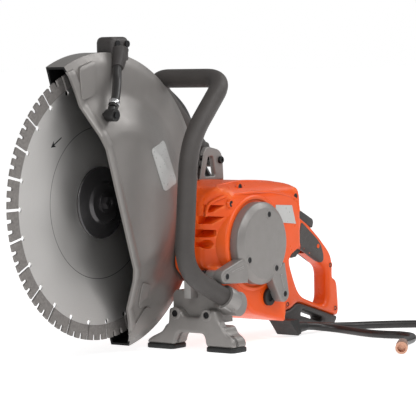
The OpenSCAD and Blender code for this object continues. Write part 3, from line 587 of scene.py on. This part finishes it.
CABLE_POINTS = [(-365, 93, 14), (-385, 95, 12), (-410, 101, 9), (-440, 113, 7), (-470, 132, 6),
                (-500, 160, 6), (-530, 196, 6), (-562, 245, 6)]
HOSE_POINTS = [(-365, 106, 14), (-384, 109, 12), (-401, 120, 9), (-409, 140, 7), (-406, 163, 6),
               (-397, 188, 6), (-390, 213, 6), (-390, 238, 6), (-394, 262, 6), (-387, 286, 6),
               (-366, 302, 6), (-340, 312, 6.5), (-311, 323, 8), (-282, 338, 9)]
FEED_POINTS = [(-53.2, -8, 224), (-63, -8, 224), (-80, -17, 219), (-112, -38, 204),
               (-148, -48, 188), (-185, -51, 177), (-225, -49, 158), (-260, -47, 132),
               (-284, -50, 104), (-295, -51, 76), (-297, -44, 52), (-293, -28, 32),
               (-290, -12, 12)]
GUARD_HOSE_POINTS = [(-14, 29.5, 201.5), (-7, 32.5, 192), (0, 37.5, 178), (10, 44.5, 164),
                     (22, 51.5, 150), (32, 55.5, 139)]
COIL_AT = (-541, 339)
CABLE_TAIL = [(-527, 412, 6), (-513, 412, 6), (-499, 412, 6)]


def coil_points():
    """Clockwise turns: one on the ground inside, one on top, and part of one outside.

    The keys are (angle, radius, height) about the middle of the coil.
    """
    keys = [(225, 68.5, 6), (200, 63, 6), (175, 60, 6), (-120, 60, 6), (-150, 62, 11),
            (-180, 66, 16.4), (-470, 66, 16.4), (-500, 69, 12.5), (-530, 72, 7),
            (-560, 72, 6), (-625, 72.6, 6)]
    points = []
    for (a0, r0, z0), (a1, r1, z1) in zip(keys, keys[1:]):
        count = max(1, round((a0 - a1) / 20))
        for k in range(count):
            s = k / count
            a, r, z = a0 + (a1 - a0) * s, r0 + (r1 - r0) * s, z0 + (z1 - z0) * s
            points.append((COIL_AT[0] + r * math.cos(rad(a)),
                           COIL_AT[1] + r * math.sin(rad(a)), z))
    return points


def add_cords():
    radius = 6
    cable = smooth_line(on_ground(CABLE_POINTS + coil_points() + CABLE_TAIL), 4)
    piece = tube("power_cable_run", cable, radius, "hose_rubber", "machine", sides=16,
                 replaces=("power_cable", "power_cable_coil"))
    tuple(W(cable[0]))
    round(length_of(cable), 3)
    [tuple(W(p)) for p in cable]
    hose = smooth_line(on_ground(HOSE_POINTS), 5)
    piece = tube("water_hose_run", hose, radius, "hose_rubber", "machine", sides=16,
                 replaces=("water_hose",))
    tuple(W(hose[0]))
    round(length_of(hose), 3)
    [tuple(W(p)) for p in hose]


add_cords()


# ---- CAD nodes ----

REPLACED = ("power_cable", "power_cable_coil", "water_hose", "feed_hose", "guard_hose",
            "guard_shell", "guard_grip", "motor_casing", "handle_sleeve", "rear_handle_left",
            "rear_handle_right", "side_cover", "upper_damper", "lower_spring", "grip_inlays",
            "handle_bumper", "blade_segments", "side_cover_screws", "casing_screws", "stand",
            "stand_pads", "frame_bolts", "upper_bracket")
EDGES = {"handle_frame": 2.0, "trigger": 1.4, "lockout_lever": 2.2, "cable_inlet": 1.6,
         "outer_flange": 0.8, "blade_bolt": 0.6, "arm_housing": 1.2, "belt_guard": 2.5,
         "guard_screws": 0.5, "hose_clamp": 0.4, "hose_elbow": 1.2, "handle_end_fitting": 1.2,
         "spring_seat": 0.8, "rubber_stop": 1.0, "hose_coupling": 0.8, "cable_plug": 1.0,
         "blade_core": 0.15, "cable_tie": 0.3}


def finish_nodes():
    """A finish for every CAD node that stays, and soft edges for those in EDGES."""
    for name, node in frame["nodes"].items():
        if name in REPLACED:
            continue
        for row in node.material_slots:
            row.link = "OBJECT"
            row.material = SLOTS[NODE_SLOT[name]]
        if name in EDGES:
            weld = node.modifiers.new("weld", "WELD")
            weld.merge_threshold = 1e-6
            add_bevel(node, EDGES[name], 30)


finish_nodes()


# ---- blade guard ----

GUARD_R = 217.5
OPENING_LEAN = rad(18.1)
OPENING = Vector((math.cos(OPENING_LEAN), 0, -math.sin(OPENING_LEAN)))
OPENING_AT = 24.7
RIM_Y = 15
# (radius, y) of the guard's left side
GUARD_SIDE = [(0, 60), (GUARD_R - 122, 60), (GUARD_R - 104, 54), (GUARD_R - 79, 40),
              (GUARD_R - 59, 29), (GUARD_R - 40, 27), (GUARD_R - 14, 22), (GUARD_R, RIM_Y)]


def guard_y(r):
    """Where the guard's left side is at a radius."""
    for (r0, y0), (r1, y1) in zip(GUARD_SIDE, GUARD_SIDE[1:]):
        if r0 <= r <= r1:
            return y0 + (y1 - y0) * (r - r0) / (r1 - r0)
    return RIM_Y


def add_guard():
    """The guard, turned all round and cut off flat at its opening; its right wall and inner faces
    are painted near-black as painted shade.
    """
    side = rounded(GUARD_SIDE, [0, 16, 9, 9, 9, 9, 6, 0], 4, closed=False)
    inner = [(GUARD_R - 3.5, 13.2), (GUARD_R - 17.5, 18.5), (GUARD_R - 43.5, 23.5),
             (GUARD_R - 59, 25.5), (GUARD_R - 80.75, 36.5), (GUARD_R - 105.75, 50.5),
             (GUARD_R - 122, 56.5), (0, 56.5)]
    bore = 38.05
    back = [(GUARD_R, -19), (bore, -19), (bore, -15.5), (GUARD_R - 3.5, -15.5)]
    profile = side + back + inner
    # the faces after the left side take slot 1, the near-black painted shade
    index = [0] * (len(side) + 1) + [1] * (len(profile) - len(side) - 1)
    piece = lathe("guard_body", profile, "guard_casting", None, steps=300, index=index,
                  extra=(GUARD_INSIDE_PAINTED_SHADE,))
    bm = bmesh.new()
    bm.from_mesh(piece.data)
    low = W(OPENING * OPENING_AT)
    geometry = bm.verts[:] + bm.edges[:] + bm.faces[:]
    bmesh.ops.bisect_plane(bm, geom=geometry, plane_co=low, plane_no=OPENING, clear_outer=True)
    rim = [edge for edge in bm.edges if edge.is_boundary]
    filled = bmesh.ops.holes_fill(bm, edges=rim, sides=0)
    bmesh.ops.triangulate(bm, faces=filled["faces"])
    bm.to_mesh(piece.data)
    bm.free()
    dress(piece, "guard", 0.9, 38, ("guard_shell",))


def guard_pad(name, corners, height, slot="guard_casting"):
    """A raised pad on the guard's left side; corners are (angle, radius)."""
    count, depth = 12, 1.5
    flat = [Vector((r * math.cos(rad(a)), r * math.sin(rad(a)))) for a, r in corners]
    outline = rounded([tuple(c) for c in flat], 7, 4)
    centre = sum((Vector(c) for c in outline), Vector((0, 0))) / len(outline)
    rings = []
    for k in range(count + 1):
        ring = []
        for c in outline:
            q = centre + (Vector(c) - centre) * (k / count)
            ring.append((q.x, guard_y(q.length) + height, q.y))
        rings.append(ring)
    verts = [rings[0][0]]
    faces = []
    m = len(outline)
    for ring in rings[1:]:
        verts += ring
    base = len(verts)
    verts += [(x, y - height - depth, z) for x, y, z in rings[-1]]
    for i in range(m):
        j = (i + 1) % m
        faces.append([0, 1 + i, 1 + j])
        for k in range(count - 1):
            a, b = 1 + k * m, 1 + (k + 1) * m
            faces.append([a + i, b + i, b + j, a + j])
        top = 1 + (count - 1) * m
        faces.append([top + i, base + i, base + j, top + j])
    faces.append([base + i for i in range(m)])
    finish_mesh(name, verts, faces, slot, "guard", bevel=0.8, angle=40)


def add_guard_band():
    """The raised band beside the guard's opening."""
    up = Vector((math.sin(OPENING_LEAN), 0, math.cos(OPENING_LEAN)))
    rows = ((OPENING_AT + 0.8, -3), (OPENING_AT + 0.8, 1.6), (OPENING_AT - 0.8, 2.4),
            (OPENING_AT - 11, 2.2), (OPENING_AT - 13, 0.9), (OPENING_AT - 14.5, -1))
    reach = 208.5
    verts, faces, count = [], [], 150
    for i in range(count + 1):
        along = -reach + 2 * reach * i / count
        for t, lift in rows:
            p = OPENING * t + up * along
            verts.append((p.x, guard_y(min(p.length, GUARD_R - 0.1)) + lift, p.z))
    m = len(rows)
    for i in range(count):
        for k in range(m - 1):
            faces.append([i * m + k, i * m + k + 1, (i + 1) * m + k + 1, (i + 1) * m + k])
        faces.append([i * m + m - 1, i * m, (i + 1) * m, (i + 1) * m + m - 1])
    faces.append(list(range(m)))
    faces.append([count * m + k for k in range(m - 1, -1, -1)])
    finish_mesh("guard_band", verts, faces, "guard_casting", "guard", bevel=0.5, angle=35)


def add_guard_details():
    add_guard_band()
    guard_pad("guard_label", [(121.6, 90), (137.1, 129.9), (168, 119.7), (170.6, 76.9)], 1.4,
              "label_film")
    guard_pad("guard_rib_low_a", [(-106, 122), (-117, 138), (-118, 172), (-108, 166)], 2.7)
    guard_pad("guard_rib_low_b", [(-113, 170), (-117, 180), (-105, 207), (-99, 198)], 2.7)
    guard_pad("guard_rib_top", [(74, 162), (64, 166), (71, 208), (81, 209)], 4)


def add_guard_grip():
    """The block that is seated over the guard's rim, the boot under it and the hose below."""
    outline = rounded([(-52, -15), (-14, -15), (-14, 21), (-52, 21)], 9, 6)
    top = GUARD_R + 22.5
    rows = ((0, GUARD_R - 11), (0, GUARD_R), (0, top - 8), (1.2, top - 4), (3.4, top - 1.4),
            (6.5, top - 0.2), (9, top))
    grip = block("guard_grip_block", outline, rows, "dark_plastic", None)
    seat = [(0, -20), (GUARD_R + 0.1, -20), (GUARD_R + 0.1, RIM_Y), (GUARD_R - 13.8, 22.1),
            (0, 60)]
    cut(grip, lathe("cutter", seat, "dark_plastic", None, steps=300, closed=False))
    dress(grip, "guard", 1.0, 40, ("guard_grip",))
    boot = [(-26, 24, 222), (-22, 26, 214), (-17, 28.3, 206), (-12.6, 30.2, 199),
            (-9.6, 31.6, 195)]
    tube("guard_grip_boot", smooth_line(boot, 4), [12 - 3.6 * k / 16 for k in range(17)],
         "dark_plastic", "guard", sides=28, bevel=0.8, angle=50)
    tube("guard_hose_run", smooth_line(GUARD_HOSE_POINTS, 6), 6.5, "hose_rubber", "guard",
         sides=24, replaces=("guard_hose",))


add_guard()
add_guard_details()
add_guard_grip()


# ---- blade ----

def add_blade_rim():
    """The cutting segments, each with two notches; the angles are in degrees."""
    count, outer, inner, half = 27, 200, 178, 1.8
    pitch = 360 / count
    slot_half, notch_half, notch_deep, notch_foot = 0.62, 0.85, 7.5, 8.8
    bm = bmesh.new()
    for i in range(count):
        centre = (i + 0.5) * pitch
        wide = pitch / 2 - slot_half
        marks = [(-wide, inner), (-wide, outer)]
        for k in (-1, 1):
            a = k * pitch / 6
            marks += [(a - notch_half, outer), (a - 0.75, outer - notch_deep),
                      (a - 0.45, outer - notch_foot), (a + 0.45, outer - notch_foot),
                      (a + 0.75, outer - notch_deep), (a + notch_half, outer)]
        marks += [(wide, outer), (wide, inner)] + [(wide * k, inner) for k in (0.5, 0, -0.5)]
        loop = [(r * math.cos(rad(-centre - a)), r * math.sin(rad(-centre - a)))
                for a, r in marks]
        low = [bm.verts.new(W((x, -half, z))) for x, z in loop]
        high = [bm.verts.new(W((x, half, z))) for x, z in loop]
        bm.faces.new(low)
        bm.faces.new(list(reversed(high)))
        for k in range(len(loop)):
            q = (k + 1) % len(loop)
            bm.faces.new((low[q], low[k], high[k], high[q]))
    from_bmesh("blade_rim", bm, "segment_metal", "blade", bevel=0.25, angle=30,
               replaces=("blade_segments",))


add_blade_rim()


def add_arrow():
    """The arrow printed on the blade, which shows how it turns."""
    mid, turn = Vector((94, 91)), rad(-30)
    u = Vector((math.cos(turn), math.sin(turn)))
    v = Vector((-u.y, u.x))
    flat = [(-13, -0.9), (6, -0.9), (4, -5), (14, 0), (4, 5), (6, 0.9), (-13, 0.9)]
    outline = [tuple(mid + u * a + v * b) for a, b in flat]
    slab("blade_arrow", outline, 1.0, 1.36, "black_steel", "blade")


add_arrow()


# ---- the hose that feeds the guard, a tube on no body ----

def add_feed_hose():
    path = smooth_line(FEED_POINTS, 6)
    piece = tube("feed_hose_run", path, 5, "hose_rubber", None, sides=16)
    tuple(W((-60, -8, 224)))
    tuple(W((-292, -50, 100)))
    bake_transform(piece)
    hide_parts("feed_hose")


add_feed_hose()


# ---- front handle ----

def handle_path():
    reach, rise = GUARD_R + 21, rad(48)
    x, z = -reach * math.cos(rise), reach * math.sin(rise)
    left, right = 112, -25
    socket = (-139, left + 14, GROUND + 77)
    elbow = (-53, left, GROUND + 124)
    shoulder = (-70, left, 86)
    end = (MX - 53, right, MZ + 137)
    near, far = (x, left, z), (x, right, z)
    return ([Vector(socket)] + bend(socket, elbow, shoulder, 40) + bend(elbow, shoulder, near, 44)
            + bend(shoulder, near, far, 34) + bend(near, far, end, 34) + [Vector(end)])


def resampled(path):
    """A path cut into even runs."""
    step = 6.0
    points = [path[0]]
    for a, b in zip(path, path[1:]):
        count = max(1, round((b - a).length / step))
        points += [a.lerp(b, (k + 1) / count) for k in range(count)]
    return points


def add_handle():
    tube("handle_sleeve_rubber", resampled(handle_path()), 14, "grip_rubber", "machine", sides=40,
         replaces=("handle_sleeve",), bevel=1.2, angle=60)


add_handle()


# ---- motor housing ----

# (x, z) from the motor's axis, and where the rounding of each corner starts
HOUSING = [(72, 88), (88, 71), (88, -33), (72, -44), (47, -63), (8, -106), (-34, -116),
           (-78, -126), (-122, -126), (-122, 81), (-77, 89), (-20, 93), (30, 93)]
HOUSING_CORNERS = [12, 12, 14, 10, 14, 16, 14, 10, 10, 26, 20, 20, 20]
HOUSING_RIGHT, HOUSING_LEFT = -22, 115
# (radius, y) of the space in which the guard turns
GUARD_ROOM = [(0, -21.9), (221, -21.9), (221, 18.5), (207, 25.5), (181, 30.5), (162, 32.5),
              (142, 43.5), (117, 57.5), (99, 63.5), (0, 63.5)]


def casing_drop(x, z):
    """How far the left face falls away towards the front and the top."""
    top, front, low, collar = 76, 54, -46, 66
    fall = 0.0
    if z > top:
        fall = max(fall, (z - top) * 1.45)
    if x > front and z > low:
        fall = max(fall, (x - front) * 0.95 * min(1, (z - low) / 16))
    if math.hypot(x, z) < collar:
        fall = 0.0
    return -fall


def prism(outline, y0, y1):
    """A block to cut with, across the machine."""
    return slab("cutter", outline, y0, y1, "orange_plastic", None, at=AT_MOTOR)


def add_casing():
    """The housing, its left face dropping at the front and top, and what stands on it."""
    body = pillow("casing_shell", rounded(HOUSING, HOUSING_CORNERS, 5), [], HOUSING_RIGHT,
                  HOUSING_LEFT, 4, 5, "orange_plastic", None, at=AT_MOTOR, step=3.2,
                  height=casing_drop)
    recess = rounded([(-140, -3), (-95, -24), (-82, -40), (-76, -62), (-76, -140), (-140, -140)],
                     [1, 6, 8, 10, 1, 1], 4)
    cut(body, prism(recess, 84, 130))
    cut(body, prism([(-20, -58), (95, -58), (95, -140), (-20, -140)], -30, 34))
    motor_room = [(0, 38), (54, 38), (54, 120), (0, 120)]
    shaft_room = [(0, -30), (12.5, -30), (12.5, 40), (0, 40)]
    for profile, centre in ((motor_room, AT_MOTOR), (shaft_room, AT_MOTOR), (GUARD_ROOM, (0, 0))):
        cut(body, lathe("cutter", profile, "orange_plastic", None, centre=centre, steps=160,
                        closed=False))
    slope = [(-140, -2, 94.4), (-140, -24, 76), (-140, -24, 100), (-140, -2, 100)]
    verts = [(x + k * 240 + MX, y, z + MZ) for k in (0, 1) for x, y, z in slope]
    faces = [(0, 1, 2, 3), (7, 6, 5, 4)]
    faces += [(k, (k + 1) % 4, (k + 1) % 4 + 4, k + 4) for k in range(4)]
    cut(body, finish_mesh("cutter", verts, faces, "orange_plastic", None))
    # cooling slots under ledges that run round the front corner
    for low, high, z in ((84, 120, 60), (75, 107, 43), (68, 98, 23)):
        notch = [(62, z), (97, z + 3), (97, z - 10), (76, z - 10)]
        cut(body, prism(rounded(notch, [1, 1, 1, 3], 3), low, high))
    cut(body, lathe("cutter", [(0, 70), (7, 70), (7, 130), (0, 130)], "orange_plastic", None,
                    centre=(MX + 82, MZ + 3), steps=32, closed=False))
    dress(body, "machine", 1.1, 38, ("motor_casing",))
    collar = [(63.5, 92), (73, 92), (73, 113.5), (71.5, 116), (68.5, 117.6), (66, 117.2),
              (64.6, 115.5), (63.5, 113)]
    lathe("casing_collar", collar, "orange_plastic", "machine", centre=AT_MOTOR, steps=160,
          angle=60)
    ridge = [(84, 44), (80, 62), (62, 73), (20, 76), (-40, 75), (-84, 68), (-112, 58), (-118, 40)]
    crest = [(60, 88), (20, 92), (-20, 91.5), (-77, 87), (-112, 80)]
    add_bead("casing_ridge", [(x, HOUSING_LEFT - 1.4 + casing_drop(x, z) * 0.9, z)
                              for x, z in ridge], 2.6)
    add_bead("casing_crest", [(x, 90, z - 1) for x, z in crest], 3.0)


def add_bead(name, points, radius):
    """A raised line on the housing; its points are placed from the motor's axis."""
    path = smooth_line([(x + MX, y, z + MZ) for x, y, z in points], 6)
    tube(name, path, radius, "orange_plastic", "machine", sides=14, angle=70)


add_casing()


# ---- side cover and screws ----

def screw(x, z, y, r, slot="orange_plastic"):
    """A sunk socket screw with a raised ring round it, on a face that looks left."""
    centre = (x + MX, z + MZ)
    lathe("screw_ring", [(r, y - 2), (r, y + 1.1), (r + 1.3, y + 1.1), (r + 2.6, y - 2)], slot,
          "machine", centre=centre, steps=40, bevel=0.25)
    lathe("screw_head", [(0, y + 0.1), (r * 0.42, y + 0.1), (r * 0.5, y + 0.7), (r * 0.9, y + 0.7),
                         (r + 0.05, y - 1)], "black_steel", "machine", centre=centre, steps=40,
          closed=False)


def add_screws():
    for x, z, y in ((56, 62, 114), (-108, 64, 115), (20, 85, 104)):
        screw(x, z, y, 4.8)
    for x, z in ((-256, -55), (-269, -125), (-137, -107)):
        screw(x, z, GRIP_LEFT - 0.4, 3.9)
    arm_slope = rad(17.65)
    along = Vector((-math.cos(arm_slope), -math.sin(arm_slope)))
    profile = [(0, -71), (4.8, -71), (4.8, -74), (2.2, -74.4), (2, -72.5), (0, -72.5)]
    for side in (-48, 48):
        spot = along * 117 + Vector((-along.y, along.x)) * side
        lathe("belt_guard_screw", profile, "black_steel", "machine", centre=tuple(spot),
              steps=32, closed=False, bevel=0.2)


def arm_outline(a, b, r0, r1, steps):
    """A tapered bar from a to b with a round end at b; r0 and r1 are half its widths."""
    a, b = Vector(a), Vector(b)
    u = (b - a).normalized()
    v = Vector((-u.y, u.x))
    points = [tuple(a + v * r0), tuple(a - v * r0)]
    for k in range(steps + 1):
        t = rad(-90 + 180 * k / steps)
        points.append(tuple(b + u * (r1 * math.cos(t)) + v * (r1 * math.sin(t))))
    return points


COVER_LEFT, ARM_LEFT = 136, 134.2
DISC_SCREWS = [(-9, 43), (42, -22), (-26, -39)]
ARM_SCREWS = [(96, -42), (-50, -80)]


def add_cover():
    """The round side cover, its two arms and their screws."""
    disc = [(0, 115), (62, 115), (62, 128.2), (61.2, 129.6), (54.8, 134.8), (53, 135.8),
            (50.5, COVER_LEFT), (0, COVER_LEFT)]
    lathe("cover_disc", disc, "cast_magnesium", "machine", centre=AT_MOTOR, steps=160,
          closed=False, bevel=0.5, angle=20,
          replaces=("side_cover", "side_cover_screws", "casing_screws"))
    front_arm = arm_outline((44, -36), (96, -42), 20, 11, 12)
    rear_arm = arm_outline((-34, -40), (-50, -80), 20, 12.5, 12)
    for name, outline in (("cover_arm_front", front_arm), ("cover_arm_rear", rear_arm)):
        pillow(name, outline, [], 117.5, ARM_LEFT, 1.5, 3, "cast_magnesium", "machine",
               at=AT_MOTOR, step=2.0, angle=50)
    for spots, left in ((DISC_SCREWS, COVER_LEFT), (ARM_SCREWS, ARM_LEFT)):
        for x, z in spots:
            screw(x, z, left, 4.6, "cast_magnesium")
    for k, (a, b) in enumerate((((54, -31), (84, -37)), ((-41, -50), (-48, -69)))):
        slab("cover_rib_%d" % k, arm_outline(a, b, 1.8, 1.8, 6), 133, 135.4, "cast_magnesium",
             "machine", at=AT_MOTOR, edge=0.9)


add_cover()


# ---- rear handle ----

D_OUTLINE = [(-122, 60), (-142, 60), (-160, 42), (-175, 28), (-202, 13), (-229, -7), (-256, -31),
             (-263, -41), (-266, -54), (-266, -75), (-275, -79), (-279, -87), (-282, -118),
             (-282, -131), (-278, -138), (-265, -135), (-177, -109), (-166, -108), (-150, -116),
             (-122, -120)]
D_OPENING = [(-148, -34), (-148, -44), (-153, -56), (-161, -74), (-171, -91), (-185, -101),
             (-212, -110), (-234, -117), (-243, -115), (-248, -106), (-248, -64), (-240, -54),
             (-224, -46), (-197, -32), (-176, -22)]
INLAY = [(-177, 20), (-201, 3), (-220, -10), (-231, -21), (-238, -38), (-236, -51), (-224, -46),
         (-197, -32), (-176, -22), (-170, -4)]
BUMPER = [(-122, -120), (-150, -116), (-166, -108), (-177, -109), (-265, -135), (-277, -138),
          (-277, -143), (-268, -153.5), (-244, -153.5), (-168, -137), (-122, -134)]
BUMPER_SLOT = [(-180, -119), (-236, -136), (-238, -142), (-230, -143), (-176, -128)]
GRIP_RIGHT, GRIP_MID, GRIP_LEFT = 47, 62, 77
GRIP_ROUND = 8


def add_inlays(outlines):
    """Rubber inlays that follow the rounded sides of the grip."""
    def fall(x, z):
        return -drop(gap_to((x, z), outlines), GRIP_ROUND)
    _, right = [
        pillow(name, rounded(INLAY, 6, 4), [], GRIP_MID + 7, GRIP_LEFT + 0.7, 0, 0.9,
               "grip_rubber", body, at=AT_MOTOR, step=2.0, height=fall, replaces=nodes)
        for name, body, nodes in (("inlay_left", "machine", ("grip_inlays",)),
                                  ("inlay_right", None, ()))]
    mirror = W((0, GRIP_MID, 0)).y
    for vertex in right.data.vertices:
        vertex.co.y = 2 * mirror - vertex.co.y
    right.data.flip_normals()
    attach(right, "machine")
    lathe("inlay_hole", [(0, 0), (3.4, 0), (3.4, 0.7), (2.6, 1.0), (2.4, 0.3), (0, 0.3)],
          "orange_plastic", "machine", centre=(MX - 222, MZ - 22), steps=32, closed=False,
          lift=GRIP_LEFT + 0.5)


def add_rear_handle():
    """The D handle's two shells, with room inside for the switch and the lever."""
    outer = rounded(D_OUTLINE, [0, 6, 6, 8, 8, 8, 10, 6, 6, 3, 4, 4, 4, 4, 3, 4, 4, 4, 4, 0], 3)
    opening = rounded(D_OPENING, 8, 3)
    switch_room = [(-156, -34), (-156, -22), (-182, -3), (-210, -3), (-210, -21), (-197, -33),
                   (-176, -25)]
    lever_room = [(-164, 2), (-164, 52), (-232, 26), (-232, -10), (-214, -1), (-194, 4)]
    half_room = 6.9
    for name, y0, y1, e0, e1, node in (
            ("handle_shell_left", GRIP_MID, GRIP_LEFT, 0, GRIP_ROUND, "rear_handle_left"),
            ("handle_shell_right", GRIP_RIGHT, GRIP_MID, GRIP_ROUND, 0, "rear_handle_right")):
        piece = pillow(name, outer, [opening], y0, y1, e0, e1, "orange_plastic", None,
                       at=AT_MOTOR)
        for outline in (switch_room, lever_room):
            low, high = max(y0 - 1, GRIP_MID - half_room), min(y1 + 1, GRIP_MID + half_room)
            cut(piece, prism(outline, low, high))
        dress(piece, "machine", 0, 50, (node,))
    add_inlays([outer, opening])
    pillow("bumper_body", rounded(BUMPER, 5, 4), [rounded(BUMPER_SLOT, 3, 3)], GRIP_RIGHT + 1,
           GRIP_LEFT - 1, 5, 5, "dark_plastic", "machine", at=AT_MOTOR, step=2.5,
           replaces=("handle_bumper",))


add_rear_handle()
add_screws()


# ---- stand and upper bracket ----

STAND_FRONT = [(30, 62), (50, 62), (58, 50), (86, 50), (92, 62), (116, 62), (122, 44), (128, 38),
               (134, 28), (146, 20), (149, 14), (149, 7), (98, 7), (96, 20), (92, 26), (48, 26),
               (42, 20), (38, 7), (-12, 7), (-12, 12), (-4, 17), (16, 26), (28, 38)]
STAND_FEET = [(22, 38), (130, 38), (134, 28), (146, 20), (149, 14), (149, 7), (98, 7), (96, 20),
              (92, 26), (48, 26), (42, 20), (38, 7), (-12, 7), (-12, 12), (-4, 17), (14, 26)]


def add_stand():
    """The stand's plate and feet, its pads and the bolts that hold it to the frame."""
    pillow("stand_front", rounded(STAND_FRONT, 5, 3), [], -134, -120, 0.5, 4, "cast_magnesium",
           "machine", turn=True, at=(0, GROUND), step=2.5, angle=50, replaces=("stand",))
    pillow("stand_feet", rounded(STAND_FEET, 5, 3), [], -154, -123, 4, 4, "cast_magnesium",
           "machine", turn=True, at=(0, GROUND), step=2.5, angle=50)
    g = GROUND
    rows = ((1.2, g), (0.3, g + 0.6), (0, g + 1.6), (0, g + 5.4), (0.4, g + 6.6), (1.4, g + 7.2))
    for name, y0, y1 in (("pad_right", -13.5, 38), ("pad_left", 97.5, 150.5)):
        outline = rounded([(-156, y0), (-118, y0), (-118, y1), (-156, y1)], 9, 6)
        block(name, outline, rows, "black_rubber", "machine", angle=60,
              replaces=("stand_pads",) if name == "pad_right" else ())
    for y in (42, 100.5):
        at = (y, GROUND + 54)
        lathe("stand_boss", [(5.2, -124), (5.2, -118.6), (8.4, -118.6), (10, -121)],
              "cast_magnesium", "machine", centre=at, steps=48, turn=True, bevel=0.5,
              replaces=("frame_bolts",) if y == 42 else ())
        lathe("stand_bolt", [(0, -119.6), (2.6, -119.6), (2.8, -118.9), (4.6, -118.9),
                             (5.3, -124)], "black_steel", "machine", centre=at, steps=48,
              turn=True, closed=False)
    lathe("bracket_bolt", [(0, 13.6), (2.4, 13.6), (2.6, 15), (5, 15), (5.6, 14.2), (5.6, 10)],
          "black_steel", "machine", centre=(MX - 56, MZ + 121), steps=48, closed=False)


def add_bracket():
    """The tapered lug that holds the front handle's damper."""
    outline = rounded([(-4, 90), (-18, 138), (-26, 143), (-56, 137), (-64, 126), (-66, 90)],
                      [0, 6, 6, 8, 8, 0], 4)
    slot = rounded([(-17, 97), (-27, 127), (-38, 127), (-44, 97)], 3, 3)
    pillow("bracket_body", outline, [slot], 2.5, 11, 1.5, 2.5, "cast_magnesium", "machine",
           at=AT_MOTOR, step=2.0, angle=50, replaces=("upper_bracket",))
    slab("bracket_web", offset(outline, 1.5), 1, 5, "black_plastic", "machine", at=AT_MOTOR)


add_stand()
add_bracket()


# ---- springs ----

def add_spring(name, node, radius, turns):
    """A coil in the place of a CAD spring, with its axis across the machine."""
    steps, wire = 20, 1.5
    low, high = [(Vector(corner) - ORIGIN) * 1000 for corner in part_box(node)]
    x, z, length = (low.x + high.x) / 2, (low.z + high.z) / 2, high.y - low.y - 2 * wire
    path = []
    for i in range(int(turns * steps) + 1):
        a = 2 * math.pi * i / steps
        path.append((x + radius * math.cos(a), low.y + wire + length * i / (turns * steps),
                     z + radius * math.sin(a)))
    tube(name, path, wire, "black_steel", "machine", sides=12, replaces=(node,))


add_spring("damper_coil", "upper_damper", 8, 1.5)
add_spring("lower_coil", "lower_spring", 6.5, 5)


# ---- stage ----

def add_stage():
    n = Nodes("studio_floor")
    n.link(n.mix(n.span(n.noise(0.8, 2), 0, 1), (0.60, 0.60, 0.60), (0.62, 0.62, 0.62)),
           n.shader.inputs["Base Color"])
    n.shader.inputs["Roughness"].default_value = 0.7
    n.shader.inputs["Specular IOR Level"].default_value = 0.1
    n.shader.inputs["Emission Color"].default_value = (1, 1, 1, 1)
    n.shader.inputs["Emission Strength"].default_value = 0.80
    mesh = bpy.data.meshes.new("floor")
    half = 60
    corners = [(-half, -half, 0), (half, -half, 0), (half, half, 0), (-half, half, 0)]
    mesh.from_pydata(corners, [], [(0, 1, 2, 3)])
    floor = bpy.data.objects.new("floor", mesh)
    bpy.context.collection.objects.link(floor)
    mesh.materials.append(n.mat)
    # the world is pure white to the camera and lights the object less
    world = bpy.data.worlds.new("studio")
    bpy.context.scene.world = world
    world.use_nodes = True
    tree = world.node_tree
    shade = tree.nodes["Background"]
    path = tree.nodes.new("ShaderNodeLightPath")
    strength = tree.nodes.new("ShaderNodeMapRange")
    strength.inputs[3].default_value = 0.36
    strength.inputs[4].default_value = 1.0
    tree.links.new(path.outputs["Is Camera Ray"], strength.inputs[0])
    tree.links.new(strength.outputs[0], shade.inputs[1])
    shade.inputs[0].default_value = (1, 1, 1, 1)


def add_light(name, at, size, power):
    target = (0, 0, 0.2)
    data = bpy.data.lights.new(name, "AREA")
    data.shape = "RECTANGLE"
    data.size, data.size_y = size
    data.energy = power
    lamp = bpy.data.objects.new(name, data)
    bpy.context.collection.objects.link(lamp)
    lamp.location = at
    lamp.rotation_euler = (Vector(target) - Vector(at)).to_track_quat("-Z", "Y").to_euler()


add_stage()
add_light("key", (0.4, 2.4, 2.6), (1.0, 0.8), 40)
add_light("front", (2.8, 0.9, 1.9), (0.9, 1.2), 26)
add_light("rear", (-1.8, 1.0, 2.0), (1.2, 1.2), 18)

bpy.context.scene.view_settings.view_transform = "Standard"
